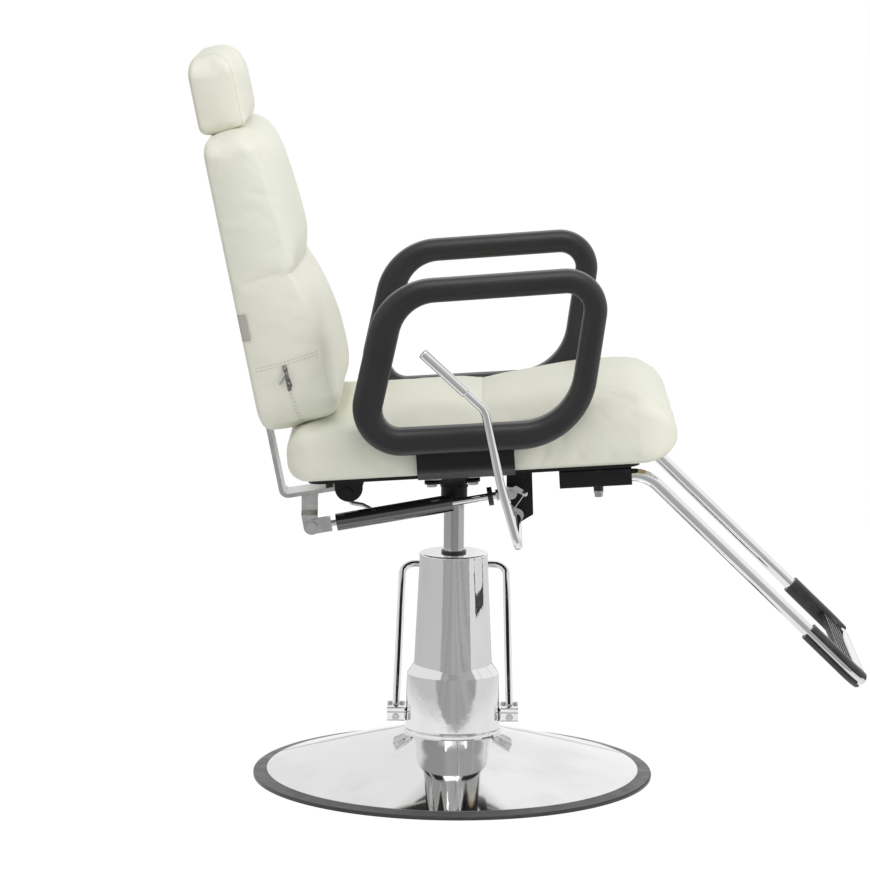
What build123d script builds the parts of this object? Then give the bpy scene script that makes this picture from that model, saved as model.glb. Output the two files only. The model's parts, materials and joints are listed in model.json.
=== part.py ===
from build123d import *
import os
from math import atan2, cos, degrees, hypot, pi, radians, sin, sqrt, tan

# A hairdressing chair: a reclining back with a lift-up headrest, a padded seat between two
# loop armrests, a strut under the seat that locks the recline, and a foot-pumped column.
# Millimetres. +X is the way the sitter faces, +Y the sitter's left, +Z up.
# The origin is on the floor, on the axis of the column.

# Shared fits
running_gap = 0.05      # radial, a shaft that turns or slides in its hole
loose_gap = 0.3         # pieces of different bodies that pass each other
bolt_gap = 0.2          # radial, a bolt in its hole
overrun = 20.0          # how far a cutting tool reaches past what it cuts

# Round base
base_r = 295.0
seal_height = 8.0
seal_edge_height = 5.0
seal_width = 20.0
seal_round = 2.0
ledge_width = 17.0
ledge_thick = 3.0
dome_sheet = 2.0
dome_lip_height = 6.0
dome_shoulder_r = 200.0
dome_shoulder_z = 30.0
dome_flare_r = 118.0
dome_flare_z = 52.5
dome_collar_r = 77.0
dome_collar_z = 65.0
dome_hole_r = 60.0
base_plate_thick = 6.0
base_plate_overlap = 4.0

# Neck ring and pump
neck_ring_r = 72.0
neck_ring_bore_r = 58.5
neck_ring_height = 6.5
neck_ring_round = 2.0
flange_r = 56.0
flange_thick = 12.0
pump_r = 40.0
pump_shoulder_z = 300.0
pump_head_r = 24.0
pump_head_z = 326.0
ram_well_z = 110.0
flange_bolt_circle_r = 48.0
flange_bolt_count = 4
flange_bolt_r = 4.0
flange_bolt_head_r = 7.5
flange_bolt_head = 5.0

# Column cover: a round cone with a wider skirt that clears the pedal shaft
cone_foot_r = 62.0
cone_top_r = 50.0
cone_top_z = 327.5
cone_sheet = 1.5
skirt_foot_half = 70.7
skirt_top_half = 67.7
skirt_top_z = 152.0
skirt_blend = 16.0
skirt_across_extra = 0.4
shaft_hole_r = 11.0
cap_overhang = 0.6
cap_thick = 5.5
cap_round = 2.5
cap_spigot = 6.0
cap_spigot_wall = 2.0
wiper_wall = 3.4
wiper_height = 10.0

# Foot pedal
pedal_shaft_r = 8.0
pedal_shaft_z = 90.0
pedal_half_span = 84.0
pedal_rod_r = 5.5
pedal_length = 296.0
pedal_splay = 5.0         # how far each leg leans inward over its length
pedal_lift_deg = 38.0
pedal_bend_r = 20.0
pedal_rod_start = 14.0
clamp_half_width = 13.0
clamp_below = 9.5
clamp_above = 11.0
clamp_split_above = 4.0
clamp_split_gap = 1.0
clamp_front = 12.0
clamp_back = 22.0
clamp_round = 2.0
clamp_bolt_r = 2.5
clamp_bolt_side = 9.5
clamp_bolt_head_r = 3.6
clamp_bolt_head = 3.0
set_screw_r = 3.0
set_screw_head_r = 5.5
set_screw_head = 4.0
set_screw_drop = 3.5

# Ram and lift
ram_r = 15.0
ram_foot_z = 190.0
ram_top_z = 436.0
ram_chamfer = 2.0

# Seat plane: the underside of the seat pan, which tilts up to the front
seat_z = 480.0
seat_tilt_deg = 3.7
pan_rear = -207.0
pan_front = 265.0
pan_inset = 22.5            # in from the cushion's side
pan_thick = 5.0
pan_round = 24.0
board_rear = -205.0
board_front = 282.0
board_inset = 3.0           # in from the pan's side
board_thick = 12.0

# Seat cushion
cushion_rear = -234.0
cushion_front = 321.0
cushion_half = 237.5
cushion_thick = 85.0
cushion_crown = 5.0
cushion_roll = 15.0
cushion_roll_place = 225.0
cushion_seam = 47.0
seam_round = 7.0
cushion_rear_round = 30.0
cushion_front_round = 53.0
cushion_corner_r = 26.0
cushion_foot_r = 18.0
cushion_plan_share = 1.0
cushion_under_shares = (0.7, 0.6)   # how far the rear and the front edge round off underneath

# Swivel socket, mount plate and what bolts it to the pan
socket_r = 19.3
socket_foot_z = 413.0
socket_ring = 1.2
socket_ring_z = 431.0
socket_ring_height = 2.5
socket_top_room = 0.5
plate_rear = -45.0
plate_front = 36.0
plate_half = 78.0
plate_drop = 32.0
plate_thick = 3.0
plate_round = 12.0
plate_bolt_x = 30.0
plate_bolt_y = 58.0
plate_bolt_r = 4.0
plate_nut_r = 7.5
plate_nut = 6.0
washer_r = 12.0
washer_thick = 1.5
washer_dish = 2.5
spacer_r = 9.0

# Recline hinge: hinge_x and hinge_z place its pin
hinge_x = -157.0
hinge_z = 425.8
hinge_pin_r = 6.0
hinge_pin_head_r = 8.5
hinge_pin_head = 3.0
barrel_r = 11.0
barrel_half = 34.0
ear_gap = 1.5
ear_thick = 5.0
ear_r = 20.5
ear_centre_u = -156.5
ear_centre_w = -36.0
hinge_plate_rear = -190.0
hinge_plate_front = -122.0
hinge_plate_half = 62.0
hinge_plate_thick = 4.0
hinge_bolt_inset = 10.0
swing_r = 136.6          # round the pin: the seat stays inside it, the back outside
swing_gap = 0.8
frame_bolt_r = 3.0
frame_bolt_head_r = 5.5
frame_bolt_head = 3.5
frame_bolt_bite = 9.0
stop_rear = -188.0
stop_front = -181.0
stop_half = 30.0

# Back bar, bent from flat bar: a leg under the seat and a leg up the back
bar_half = 32.0
bar_thick = 6.0
bar_bend_r = 10.0
bar_nose_x = -160.0
bar_nose_z = 433.2
bar_slope_deg = 9.1
bar_top = 235.0
bar_bolt_low = 60.0
bar_bolt_high = 205.0
bar_bolt_y = 18.0
bar_bolt_r = 4.0
bar_bolt_head_r = 8.0
bar_bolt_head = 3.5
bar_bolt_bite = 9.0
arm_rod_r = 3.2
arm_rod_y = 10.0

# Back: the frame's origin is the lower rear edge of its cushion
back_x = -276.0
back_z = 555.0
back_tilt_deg = 11.7
back_height = 406.0
back_sag = 18.5
back_inset = 12.5
back_side_thick = 86.0
back_crown = 12.0
back_seam = 201.0
back_lumbar = 28.0
back_lumbar_place = 80.0
back_foot_crown_run = 80.0   # the crown grows over this length from the lower edge
back_upper_swell = 8.5
back_taper = 21.0
back_seam_round = 9.0
back_low_round = 38.0
back_top_round = 27.0
back_corner_r = 24.0
back_foot_r = 12.0
back_plan_share = 1.5
back_under_shares = (0.3, 0.4)
back_taper_power_share = 1.5
back_board_gap = 8.0
back_board_thick = 12.0
back_board_low = 8.0
back_board_top_inset = 22.0
back_board_inset = 20.0

# Headrest
head_gap = 0.8
head_height = 112.5
head_half = 128.0
head_thick = 73.5
head_rear = -6.5
head_crown = 4.5
head_top_round = 30.0
head_foot_round = 12.0
head_corner_r = 18.0
head_foot_r = 8.0
head_plan_share = 1.3
head_under_shares = (0.8, 0.6)
least_crown_share = 0.2
head_board_thick = 10.0
head_board_inset = 23.0
head_board_low = 18.0
head_board_top_inset = 20.5
stem_half = 16.0
stem_thick = 6.0
stem_below = 150.0
stem_above = 84.0
sleeve_wall = 2.0
sleeve_length = 168.0
stem_bolt_rise = 18.0
stem_bolt_r = 3.0
stem_bolt_head_r = 5.5
stem_bolt_head = 3.0

# Strut: its rear pin on the lug, and its front pin on the release bracket
strut_rear_x = -207.6
strut_rear_z = 377.0
strut_front_x = 83.0
strut_front_z = 429.6
strut_y = -44.0
lug_thick = 5.0
lug_half = 12.0
lug_joggle_z = 400.0
lug_joggle = 6.0
lug_rear_x = -223.0
lug_front_x = -199.0
lug_flange_y = 16.0
lug_bolt_y = -6.0
lug_bolt_r = 4.0
lug_bolt_head_r = 7.0
lug_bolt_head = 5.0
open_pin_r = 4.0
open_pin_gap = 2.4
open_pin_head_r = 8.0
open_pin_head = 3.5
clevis_gap = 1.0
clevis_thick = 3.0
clevis_half = 10.5
clevis_reach = 29.0
clevis_tail = 9.0
clevis_web = 4.0
neck_r = 4.5
tube_start = 37.0
tube_end = 209.0
tube_r = 12.8
tube_wall = 1.5
tube_cap = 6.0
gland_length = 12.0
rod_r = 5.2
piston_length = 10.0
piston_gap = 0.2
piston_place = 165.0
disc_r = 13.6
disc_thick = 7.0
disc_behind = 27.0
locknut_r = 8.5
locknut_thick = 4.0
locknut_behind = 18.0
head_boss_r = 9.0
head_boss_half = 6.5
head_neck_half = 6.0
head_neck_behind = 15.0
front_pin_r = 4.0
front_pin_head_r = 5.3
front_pin_head = 3.5

# Release bracket, lever and the wire that trips the strut
cheek_y = 20.0
cheek_thick = 4.0
bracket_rear_x = 77.0
bracket_front_x = 113.0
bracket_knee_z = 425.0
bracket_toe_x = 97.0
bracket_toe_z = 382.0
bracket_heel_x = 116.3
bracket_heel_z = 394.0
bracket_flange = 4.0
bracket_round = 2.0
shaft_x = 92.0
shaft_z = 396.5
lever_rod_r = 6.0
bearing_r = 11.0
lever_room = 27.5
lever_end_y = 26.0
lever_bend_r = 26.0
lever_foot_bend_r = 14.0
lever_elbow_x = 43.5
lever_elbow_z = 590.0
lever_knee_x = 66.5
lever_knee_z = 485.0
lever_grip_x = -38.5
lever_grip_z = 665.0
grip_r = 7.4
grip_length = 76.0
collar_r = 10.0
collar_width = 5.0
crank_r = 10.0
crank_thick = 4.0
crank_eye_x = 86.5
crank_eye_z = 406.0
crank_tip_r = 3.4
crank_pin_r = 1.0
crank_pin_reach = 6.0
trip_pivot_x = 90.0
trip_pivot_z = 437.0
trip_arm_r = 4.4
trip_arm_thick = 3.0
trip_pin_r = 2.0
ball_x = 103.0
ball_z = 430.2
ball_r = 4.3
wire_r = 0.8
wire_eye_r = 3.4

# Armrest loops: each side's centre line passes a place at an angle from the vertical or level
loop_gap = 2.0
loop_half_depth = 22.5
loop_edge_round = 14.0
loop_rear_x = -109.0
loop_rear_z = 646.0
loop_rear_lean_deg = 12.2
loop_front_x = 191.5
loop_front_z = 684.0
loop_front_lean_deg = 8.0
loop_top_x = 58.75
loop_top_z = 759.0
loop_top_rise_deg = 4.5
loop_foot_x = 13.5
loop_foot_z = 543.0
loop_foot_rise_deg = 3.6
loop_rear_width = 43.0
loop_front_width = 33.0
loop_top_width = 33.0
loop_foot_width = 38.0
loop_rear_foot_r = 47.0
loop_front_foot_r = 96.0
loop_front_top_r = 40.0
loop_rear_top_r = 76.0
foot_plate_rear = -50.0
foot_plate_front = 88.0
foot_plate_thick = 5.0
foot_plate_inset = 12.0
foot_flange_overlap = 50.0
foot_slant_run = 13.0
foot_slant_rise = 16.0
foot_bend_r = 9.0
arm_bolt_inset = 26.0
arm_bolt_edge = 17.0
arm_bolt_r = 4.0
arm_bolt_head_r = 7.0
arm_bolt_head = 5.0
arm_bolt_bite = 9.0

# Footrest: two tubes that slide in sockets under the seat, joined by a step
tube_inset = 33.0
step_tube_r = 9.5
step_tube_wall = 1.5
holder_rear = 150.0
holder_front = 253.0
holder_size = 25.0
holder_drop = 4.0
holder_tab_rear_length = 22.0
holder_tab_front_length = 46.0
holder_bore_gap = 0.3
holder_round = 2.0
step_tube_start = 160.0
step_slope_deg = 43.85
step_bend_r = 50.0
step_line_x = 350.0
step_line_z = 408.9
step_end_x = 588.0
step_corner_r = 34.0
pad_length = 108.0
pad_wall = 3.5
pad_elbow_deg = 50.0
pad_lip = 6.0
pad_web = 4.0
pad_web_start = 62.0
pad_web_end = 13.0
pad_rib_count = 5
pad_rib_width = 3.6
pad_rib_height = 4.0
lock_screw_u = 205.0
lock_screw_r = 4.0
lock_nut_r = 7.0
lock_nut = 10.0
lock_head_r = 6.0
lock_head = 6.0

# Widths that follow from the seat's, and heights that follow from the back's
pan_half = cushion_half - pan_inset
board_half = pan_half - board_inset
tube_half_span = pan_half - tube_inset
foot_flange_inner_y = pan_half - foot_flange_overlap
foot_slant_y = pan_half + foot_slant_run
arm_bolt_y = pan_half - arm_bolt_edge
loop_y = cushion_half + loop_gap + loop_half_depth
lever_y = -(loop_y + loop_half_depth + lever_room)
back_half = cushion_half - back_inset
back_board_half = back_half - back_board_inset
back_board_high = back_height - back_board_top_inset
head_board_half = head_half - head_board_inset
head_board_high = head_height - head_board_top_inset

# Frames
SEAT = Location((0, 0, seat_z), (0, -seat_tilt_deg, 0))
BACK = Location((back_x, 0, back_z), (0, -back_tilt_deg, 0))
strut_slope_deg = degrees(atan2(strut_front_z - strut_rear_z, strut_front_x - strut_rear_x))
strut_span = hypot(strut_front_x - strut_rear_x, strut_front_z - strut_rear_z)
STRUT = Location((strut_rear_x, strut_y, strut_rear_z), (0, -strut_slope_deg, 0))
PEDAL = Location((0, 0, pedal_shaft_z), (pedal_lift_deg, 0, 0))

low_align = (Align.CENTER, Align.CENTER, Align.MIN)
pieces = {}


def keep(name, *solids):
    "Store one named node, made of one or more separate solids."
    bodies = [body for solid in solids for body in solid.solids()]
    pieces[name] = bodies[0] if len(bodies) == 1 else Compound(children=bodies)


def block(x_span, y_span, z_span):
    "Box between three pairs of places."
    spans = (x_span, y_span, z_span)
    middle = [(low + high) / 2 for low, high in spans]
    return Pos(*middle) * Box(*[high - low for low, high in spans])


def disc(radius, low, high):
    "Upright cylinder on the Z axis between two heights."
    return Pos(0, 0, low) * Cylinder(radius, high - low, align=low_align)


def hexagon(radius, low, high):
    "Upright hexagonal prism on the Z axis between two heights."
    return Pos(0, 0, low) * extrude(RegularPolygon(radius, 6), high - low)


def across(solid, x, y, z):
    "Turn an upright solid so that its +Z end points to -Y, and put its foot at a place."
    return Location((x, y, z), (90, 0, 0)) * solid


def cross_rod(radius, x, z, y_low, y_high):
    "Cylinder across the chair."
    return across(disc(radius, 0, y_high - y_low), x, y_high, z)


def slab(outline, y_low, y_high):
    "XZ outline made solid between two places across the chair."
    return Pos(0, y_high, 0) * extrude(Plane.XZ * outline, y_high - y_low)


def rounded(points, radii):
    "Closed outline through corner points, each with its own radius."
    return make_face(FilletPolyline(*points, radius=radii, close=True))


def swept(points, bends, radius):
    "Round rod along straight runs joined by tangent bends."
    path = FilletPolyline(*points, radius=bends)
    return sweep(Plane(origin=path @ 0, z_dir=path % 0) * Circle(radius), path=path)


def turned(outline):
    "Solid of revolution about Z, from an outline in radius and height."
    return revolve(Plane.XZ * outline, Axis.Z)


def seat_point(u, w):
    "X and Z of a place given along the seat and out from the pan's underside."
    tilt = radians(seat_tilt_deg)
    return u * cos(tilt) - w * sin(tilt), seat_z + u * sin(tilt) + w * cos(tilt)


def back_point(depth, rise):
    "X and Z of a place given forward of the back's rear plane and up along it."
    tilt = radians(back_tilt_deg)
    x = back_x + depth * cos(tilt) - rise * sin(tilt)
    return x, back_z + depth * sin(tilt) + rise * cos(tilt)


# Base
def dome_body(inset):
    "Solid under the dome's skin, shrunk by an inset, so that two of them leave a sheet."
    rim_r = base_r - seal_width - running_gap - inset
    lip_z = ledge_thick + dome_lip_height - inset
    flare = Vector(dome_flare_r, dome_flare_z - inset)
    collar = Vector(dome_collar_r, dome_collar_z - inset)
    foot_z = ledge_thick - (overrun if inset else 0)
    swell = ThreePointArc((rim_r, lip_z), (dome_shoulder_r, dome_shoulder_z - inset), flare)
    skirt = Line((rim_r, foot_z), (rim_r, lip_z))
    neck = TangentArc(flare, collar, tangent=swell % 1)
    top = Polyline(collar, (0, dome_collar_z - inset), (0, foot_z), (rim_r, foot_z))
    return turned(make_face([skirt, swell, neck, top]))


def base_parts():
    lip_r = base_r - seal_width
    ledge_r = lip_r - ledge_width
    plate_r = ledge_r + base_plate_overlap
    plate_top = ledge_thick + base_plate_thick
    seal = rounded([(ledge_r, 0), (base_r, 0), (base_r, seal_edge_height), (lip_r, seal_height),
                    (lip_r, ledge_thick), (ledge_r, ledge_thick)], [0, 0, seal_round, 0, 0, 0])
    keep("base_seal", turned(seal))
    dome = dome_body(0) - dome_body(dome_sheet) - disc(dome_hole_r, 0, dome_collar_z + overrun)
    keep("base_dome", dome)

    bolt_places = PolarLocations(flange_bolt_circle_r, flange_bolt_count, start_angle=45)
    bolt_holes = [place * disc(flange_bolt_r + bolt_gap, 0, overrun + flange_thick)
                  for place in bolt_places]
    keep("base_plate", disc(plate_r, ledge_thick, plate_top) - bolt_holes)
    flange_top = plate_top + flange_thick
    pump = disc(flange_r, plate_top, flange_top) + disc(pump_r, flange_top, pump_shoulder_z)
    pump += disc(pump_head_r, pump_shoulder_z, pump_head_z)
    pump -= bolt_holes
    pump -= disc(ram_r + running_gap, ram_well_z, pump_head_z + overrun)
    pump -= shaft_tool(pedal_shaft_r + running_gap)
    keep("pump_housing", pump)
    bolt = disc(flange_bolt_r, ledge_thick, flange_top)
    bolt += hexagon(flange_bolt_head_r, flange_top, flange_top + flange_bolt_head)
    keep("pump_flange_bolts", *[place * bolt for place in bolt_places])

    ring_top = dome_collar_z + neck_ring_height
    ring = rounded([(neck_ring_bore_r, dome_collar_z), (neck_ring_r, dome_collar_z),
                    (neck_ring_r, ring_top), (neck_ring_bore_r, ring_top)],
                   [0, 0, neck_ring_round, 0])
    keep("neck_ring", turned(ring))
    cover = cover_body(0) - cover_body(cone_sheet) - shaft_tool(shaft_hole_r)
    keep("column_cover", cover)

    cap_r = cone_top_r + cap_overhang
    cap_top = cone_top_z + cap_thick
    hole_r = ram_r + running_gap + wiper_wall
    spigot_r = cone_top_r - cone_sheet - bolt_gap
    spigot_foot = cone_top_z - cap_spigot
    cap = rounded([(hole_r, cone_top_z), (spigot_r - cap_spigot_wall, cone_top_z),
                   (spigot_r - cap_spigot_wall, spigot_foot), (spigot_r, spigot_foot),
                   (spigot_r, cone_top_z), (cap_r, cone_top_z), (cap_r, cap_top), (hole_r, cap_top)],
                  [0, 0, 0, 0, 0, 0, cap_round, 0])
    keep("cover_cap", turned(cap))
    wiper = disc(hole_r, pump_head_z, pump_head_z + wiper_height)
    wiper -= disc(ram_r + running_gap, pump_head_z, pump_head_z + wiper_height)
    keep("ram_wiper", wiper)


def shaft_tool(radius):
    "Rod along the pedal shaft, for the shaft and for its holes."
    reach = pedal_half_span + clamp_half_width
    return Location((-reach, 0, pedal_shaft_z), (0, 90, 0)) * disc(radius, 0, 2 * reach)


def cover_body(inset):
    "Solid of the column cover's outer form, shrunk by an inset."
    foot_z = dome_collar_z + neck_ring_height
    slope = (cone_foot_r - cone_top_r) / (cone_top_z - foot_z)

    def cone_r(z):
        return cone_foot_r - slope * (z - foot_z)

    def oval(z, half_x, half_y):
        return Pos(0, 0, z) * Ellipse(half_x - inset, half_y - inset)

    blend_z = skirt_top_z + skirt_blend
    cone = loft([oval(foot_z, cone_foot_r, cone_foot_r), oval(cone_top_z, cone_top_r, cone_top_r)])
    skirt = loft([oval(foot_z, skirt_foot_half, cone_foot_r + skirt_across_extra),
                  oval(skirt_top_z, skirt_top_half, cone_r(skirt_top_z) + skirt_across_extra)])
    blend = loft([oval(skirt_top_z, skirt_top_half, cone_r(skirt_top_z) + skirt_across_extra),
                  oval(blend_z, cone_r(blend_z) - skirt_across_extra,
                       cone_r(blend_z) - skirt_across_extra)])
    return cone + skirt + blend


# Foot pedal
def pedal_parts():
    keep("pedal_shaft", shaft_tool(pedal_shaft_r))
    start = PEDAL * Pos(pedal_half_span, pedal_rod_start, 0)
    end = PEDAL * Pos(pedal_half_span - pedal_splay, pedal_length, 0)
    right = [start.position, end.position]
    left = [Vector(-spot.X, spot.Y, spot.Z) for spot in reversed(right)]
    keep("pedal_bar", swept(right + left, [pedal_bend_r, pedal_bend_r], pedal_rod_r))

    split = pedal_shaft_z + clamp_split_above
    leg = Plane(origin=start.position, z_dir=end.position - start.position)
    right_hole = leg * disc(pedal_rod_r + running_gap, 0, clamp_back + overrun)
    rod_holes = {1: right_hole, -1: mirror(right_hole, Plane.YZ)}
    blocks, bolts = [], []
    for side in (-1, 1):
        place = Pos(side * pedal_half_span, 0, 0)
        span = (-clamp_half_width, clamp_half_width)
        depth = (-clamp_front, clamp_back)
        lower = block(span, depth, (pedal_shaft_z - clamp_below, split - clamp_split_gap / 2))
        upper = block(span, depth, (split + clamp_split_gap / 2, pedal_shaft_z + clamp_above))
        lower = fillet(lower.edges().filter_by(Axis.X).group_by(Axis.Z)[0], clamp_round)
        upper = fillet(upper.edges().filter_by(Axis.X).group_by(Axis.Z)[-1], clamp_round)
        bolt_y = clamp_back - clamp_bolt_head_r
        holes = []
        for bolt_x in (-clamp_bolt_side, clamp_bolt_side):
            spot = Pos(bolt_x, bolt_y, 0)
            top = pedal_shaft_z + clamp_above
            foot = pedal_shaft_z - clamp_below
            holes.append(spot * disc(clamp_bolt_r + running_gap, foot - overrun, top + overrun))
            bolts.append(place * spot * (disc(clamp_bolt_r, foot, top)
                                         + hexagon(clamp_bolt_head_r, top, top + clamp_bolt_head)))
        screw_z = pedal_shaft_z - set_screw_drop
        screw_hole = cross_rod(set_screw_r + running_gap, 0, screw_z, -clamp_front - overrun, 0)
        screw = cross_rod(set_screw_r, 0, screw_z, -clamp_front, -pedal_shaft_r)
        screw += across(hexagon(set_screw_head_r, 0, set_screw_head), 0, -clamp_front, screw_z)
        bolts.append(place * screw)
        for half in (lower - screw_hole, upper):
            blocks.append(place * (half - holes) - rod_holes[side] - shaft_tool(pedal_shaft_r))
    keep("pedal_clamps", *blocks)
    keep("pedal_clamp_bolts", *bolts)


# Ram
def ram_parts():
    ram = disc(ram_r, ram_foot_z, ram_top_z)
    keep("ram", chamfer(ram.edges().group_by(Axis.Z)[-1], ram_chamfer))


# Cushions
def end_stations(length, low_round, high_round):
    "Places along a panel and how far its skin is drawn in there: both ends are round."
    steps = 4
    turns = [pi / 2 * step / steps for step in range(steps + 1)]
    low = [(low_round * (1 - cos(turn)), low_round * (1 - sin(turn))) for turn in turns]
    high = [(length - high_round * (1 - cos(turn)), high_round * (1 - sin(turn)))
            for turn in reversed(turns)]
    return low, high


def panel(length, thick_at, half, crown, corner_r, foot_r, plan_share, rounds, under_shares,
          crown_run=0):
    "Stuffed panel along Z: flat at X = 0, crowned towards +X, round at its sides and ends."
    low, high = end_stations(length, *rounds)
    inner_length = high[0][0] - low[-1][0]
    span_count = 3
    middle = [(low[-1][0] + inner_length * step / span_count, 0)
              for step in range(1, span_count)]
    sections = []
    for place, inset in low + middle + high:
        under_share = under_shares[0] if place < length / 2 else under_shares[1]
        rear = inset * under_share
        front = thick_at(place) - inset
        rise = crown * (sin(pi / 2 * min(max(place / crown_run, least_crown_share), 1))
                        if crown_run else 1)
        side = half - inset * plan_share
        shoulder = front - crown
        top = shoulder + rise
        corner = min(corner_r, (shoulder - rear) / 2)
        foot = min(foot_r, (shoulder - rear) / 3)
        corner_bend = corner * (1 - sqrt(1 / 2))
        foot_bend = foot * (1 - sqrt(1 / 2))
        right = [
            ThreePointArc((rear, foot - side), (rear + foot_bend, foot_bend - side),
                          (rear + foot, -side)),
            Line((rear + foot, -side), (shoulder - corner, -side)),
            ThreePointArc((shoulder - corner, -side), (shoulder - corner_bend, corner_bend - side),
                          (shoulder, corner - side)),
        ]
        left = [edge.mirror(Plane.XZ) for edge in right]
        face = ThreePointArc((shoulder, corner - side), (top, 0), (shoulder, side - corner))
        under = Line((rear, side - foot), (rear, foot - side))
        sections.append(Pos(0, 0, place) * make_face(right + [face] + left + [under]))
    return loft(sections)


def seat_cushion():
    rear_length = cushion_seam - cushion_rear
    front_length = cushion_front - cushion_seam
    roll_length = cushion_roll_place - cushion_seam

    def rear_thick(place):
        return cushion_thick

    def front_thick(place):
        rise = min(place / roll_length, 1)
        return cushion_thick + cushion_roll * sin(rise * pi / 2) ** 2

    form = (cushion_half, cushion_crown, cushion_corner_r, cushion_foot_r, cushion_plan_share)
    rear = panel(rear_length, rear_thick, *form, (cushion_rear_round, seam_round),
                 (cushion_under_shares[0], 0))
    front = panel(front_length, front_thick, *form, (seam_round, cushion_front_round),
                  (0, cushion_under_shares[1]))
    lay = Plane(origin=(0, 0, 0), x_dir=(0, 0, 1), z_dir=(1, 0, 0))
    laid = Pos(cushion_rear, 0, pan_thick) * (lay * rear)
    laid += Pos(cushion_seam, 0, pan_thick) * (lay * front)
    return laid - block((cushion_rear, cushion_front), (-cushion_half, cushion_half), (0, pan_thick))


def back_cushion():
    low_length = back_seam + back_sag
    high_length = back_height - back_seam
    face = back_side_thick + back_crown

    def low_thick(place):
        run = max(place - back_sag - back_lumbar_place, 0) / (back_seam - back_lumbar_place)
        return face + back_lumbar * cos(pi / 2 * run)

    def high_thick(place):
        return face + back_upper_swell - back_taper * (place / high_length) ** back_taper_power_share

    form = (back_half, back_crown, back_corner_r, back_foot_r, back_plan_share)
    low = panel(low_length, low_thick, *form, (back_low_round, back_seam_round),
                (back_under_shares[0], 0), back_foot_crown_run)
    high = panel(high_length, high_thick, *form, (back_seam_round, back_top_round),
                 (0, back_under_shares[1]))
    cushion = Pos(0, 0, -back_sag) * low + Pos(0, 0, back_seam) * high
    return cushion - block((-overrun, 0), (-back_half, back_half), (-back_sag, back_height))


def headrest_cushion():
    def thick(place):
        return head_thick

    form = (head_half, head_crown, head_corner_r, head_foot_r, head_plan_share)
    rounds = (head_foot_round, head_top_round)
    cushion = panel(head_height, thick, *form, rounds, head_under_shares)
    cushion -= block((-overrun, 0), (-head_half, head_half), (0, head_height))
    return Pos(head_rear, 0, back_height + head_gap) * cushion


# Seat
def seat_bolt(u, y, bolt_r, head_r, head, low, high):
    "Bolt from below: its head under the low face, its shank up to the high one, and its hole."
    spot = Pos(u, y, 0)
    solid = spot * (disc(bolt_r, low, high) + hexagon(head_r, low - head, low))
    hole = spot * disc(bolt_r + bolt_gap, low - overrun, high)
    return solid, hole


def armrest_flange(side):
    "Bent plate that carries an armrest: under the seat, out past it and up into the loop."
    bottom_x, bottom_z = loop_foot_x, loop_foot_z - loop_foot_width / 2
    tilt = radians(seat_tilt_deg)
    loop_w = (bottom_z - seat_z) * cos(tilt) - bottom_x * sin(tilt)
    middle_w = foot_plate_thick / 2
    path = [(foot_flange_inner_y, middle_w), (foot_slant_y, middle_w),
            (loop_y, middle_w + foot_slant_rise), (loop_y, loop_w + foot_plate_inset)]
    strip = trace(FilletPolyline(*path, radius=foot_bend_r), line_width=foot_plate_thick)
    length = foot_plate_front - foot_plate_rear
    angle = Pos(foot_plate_rear, 0, 0) * extrude(Plane.YZ * strip, length)
    return angle if side > 0 else mirror(angle, Plane.XZ)


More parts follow.
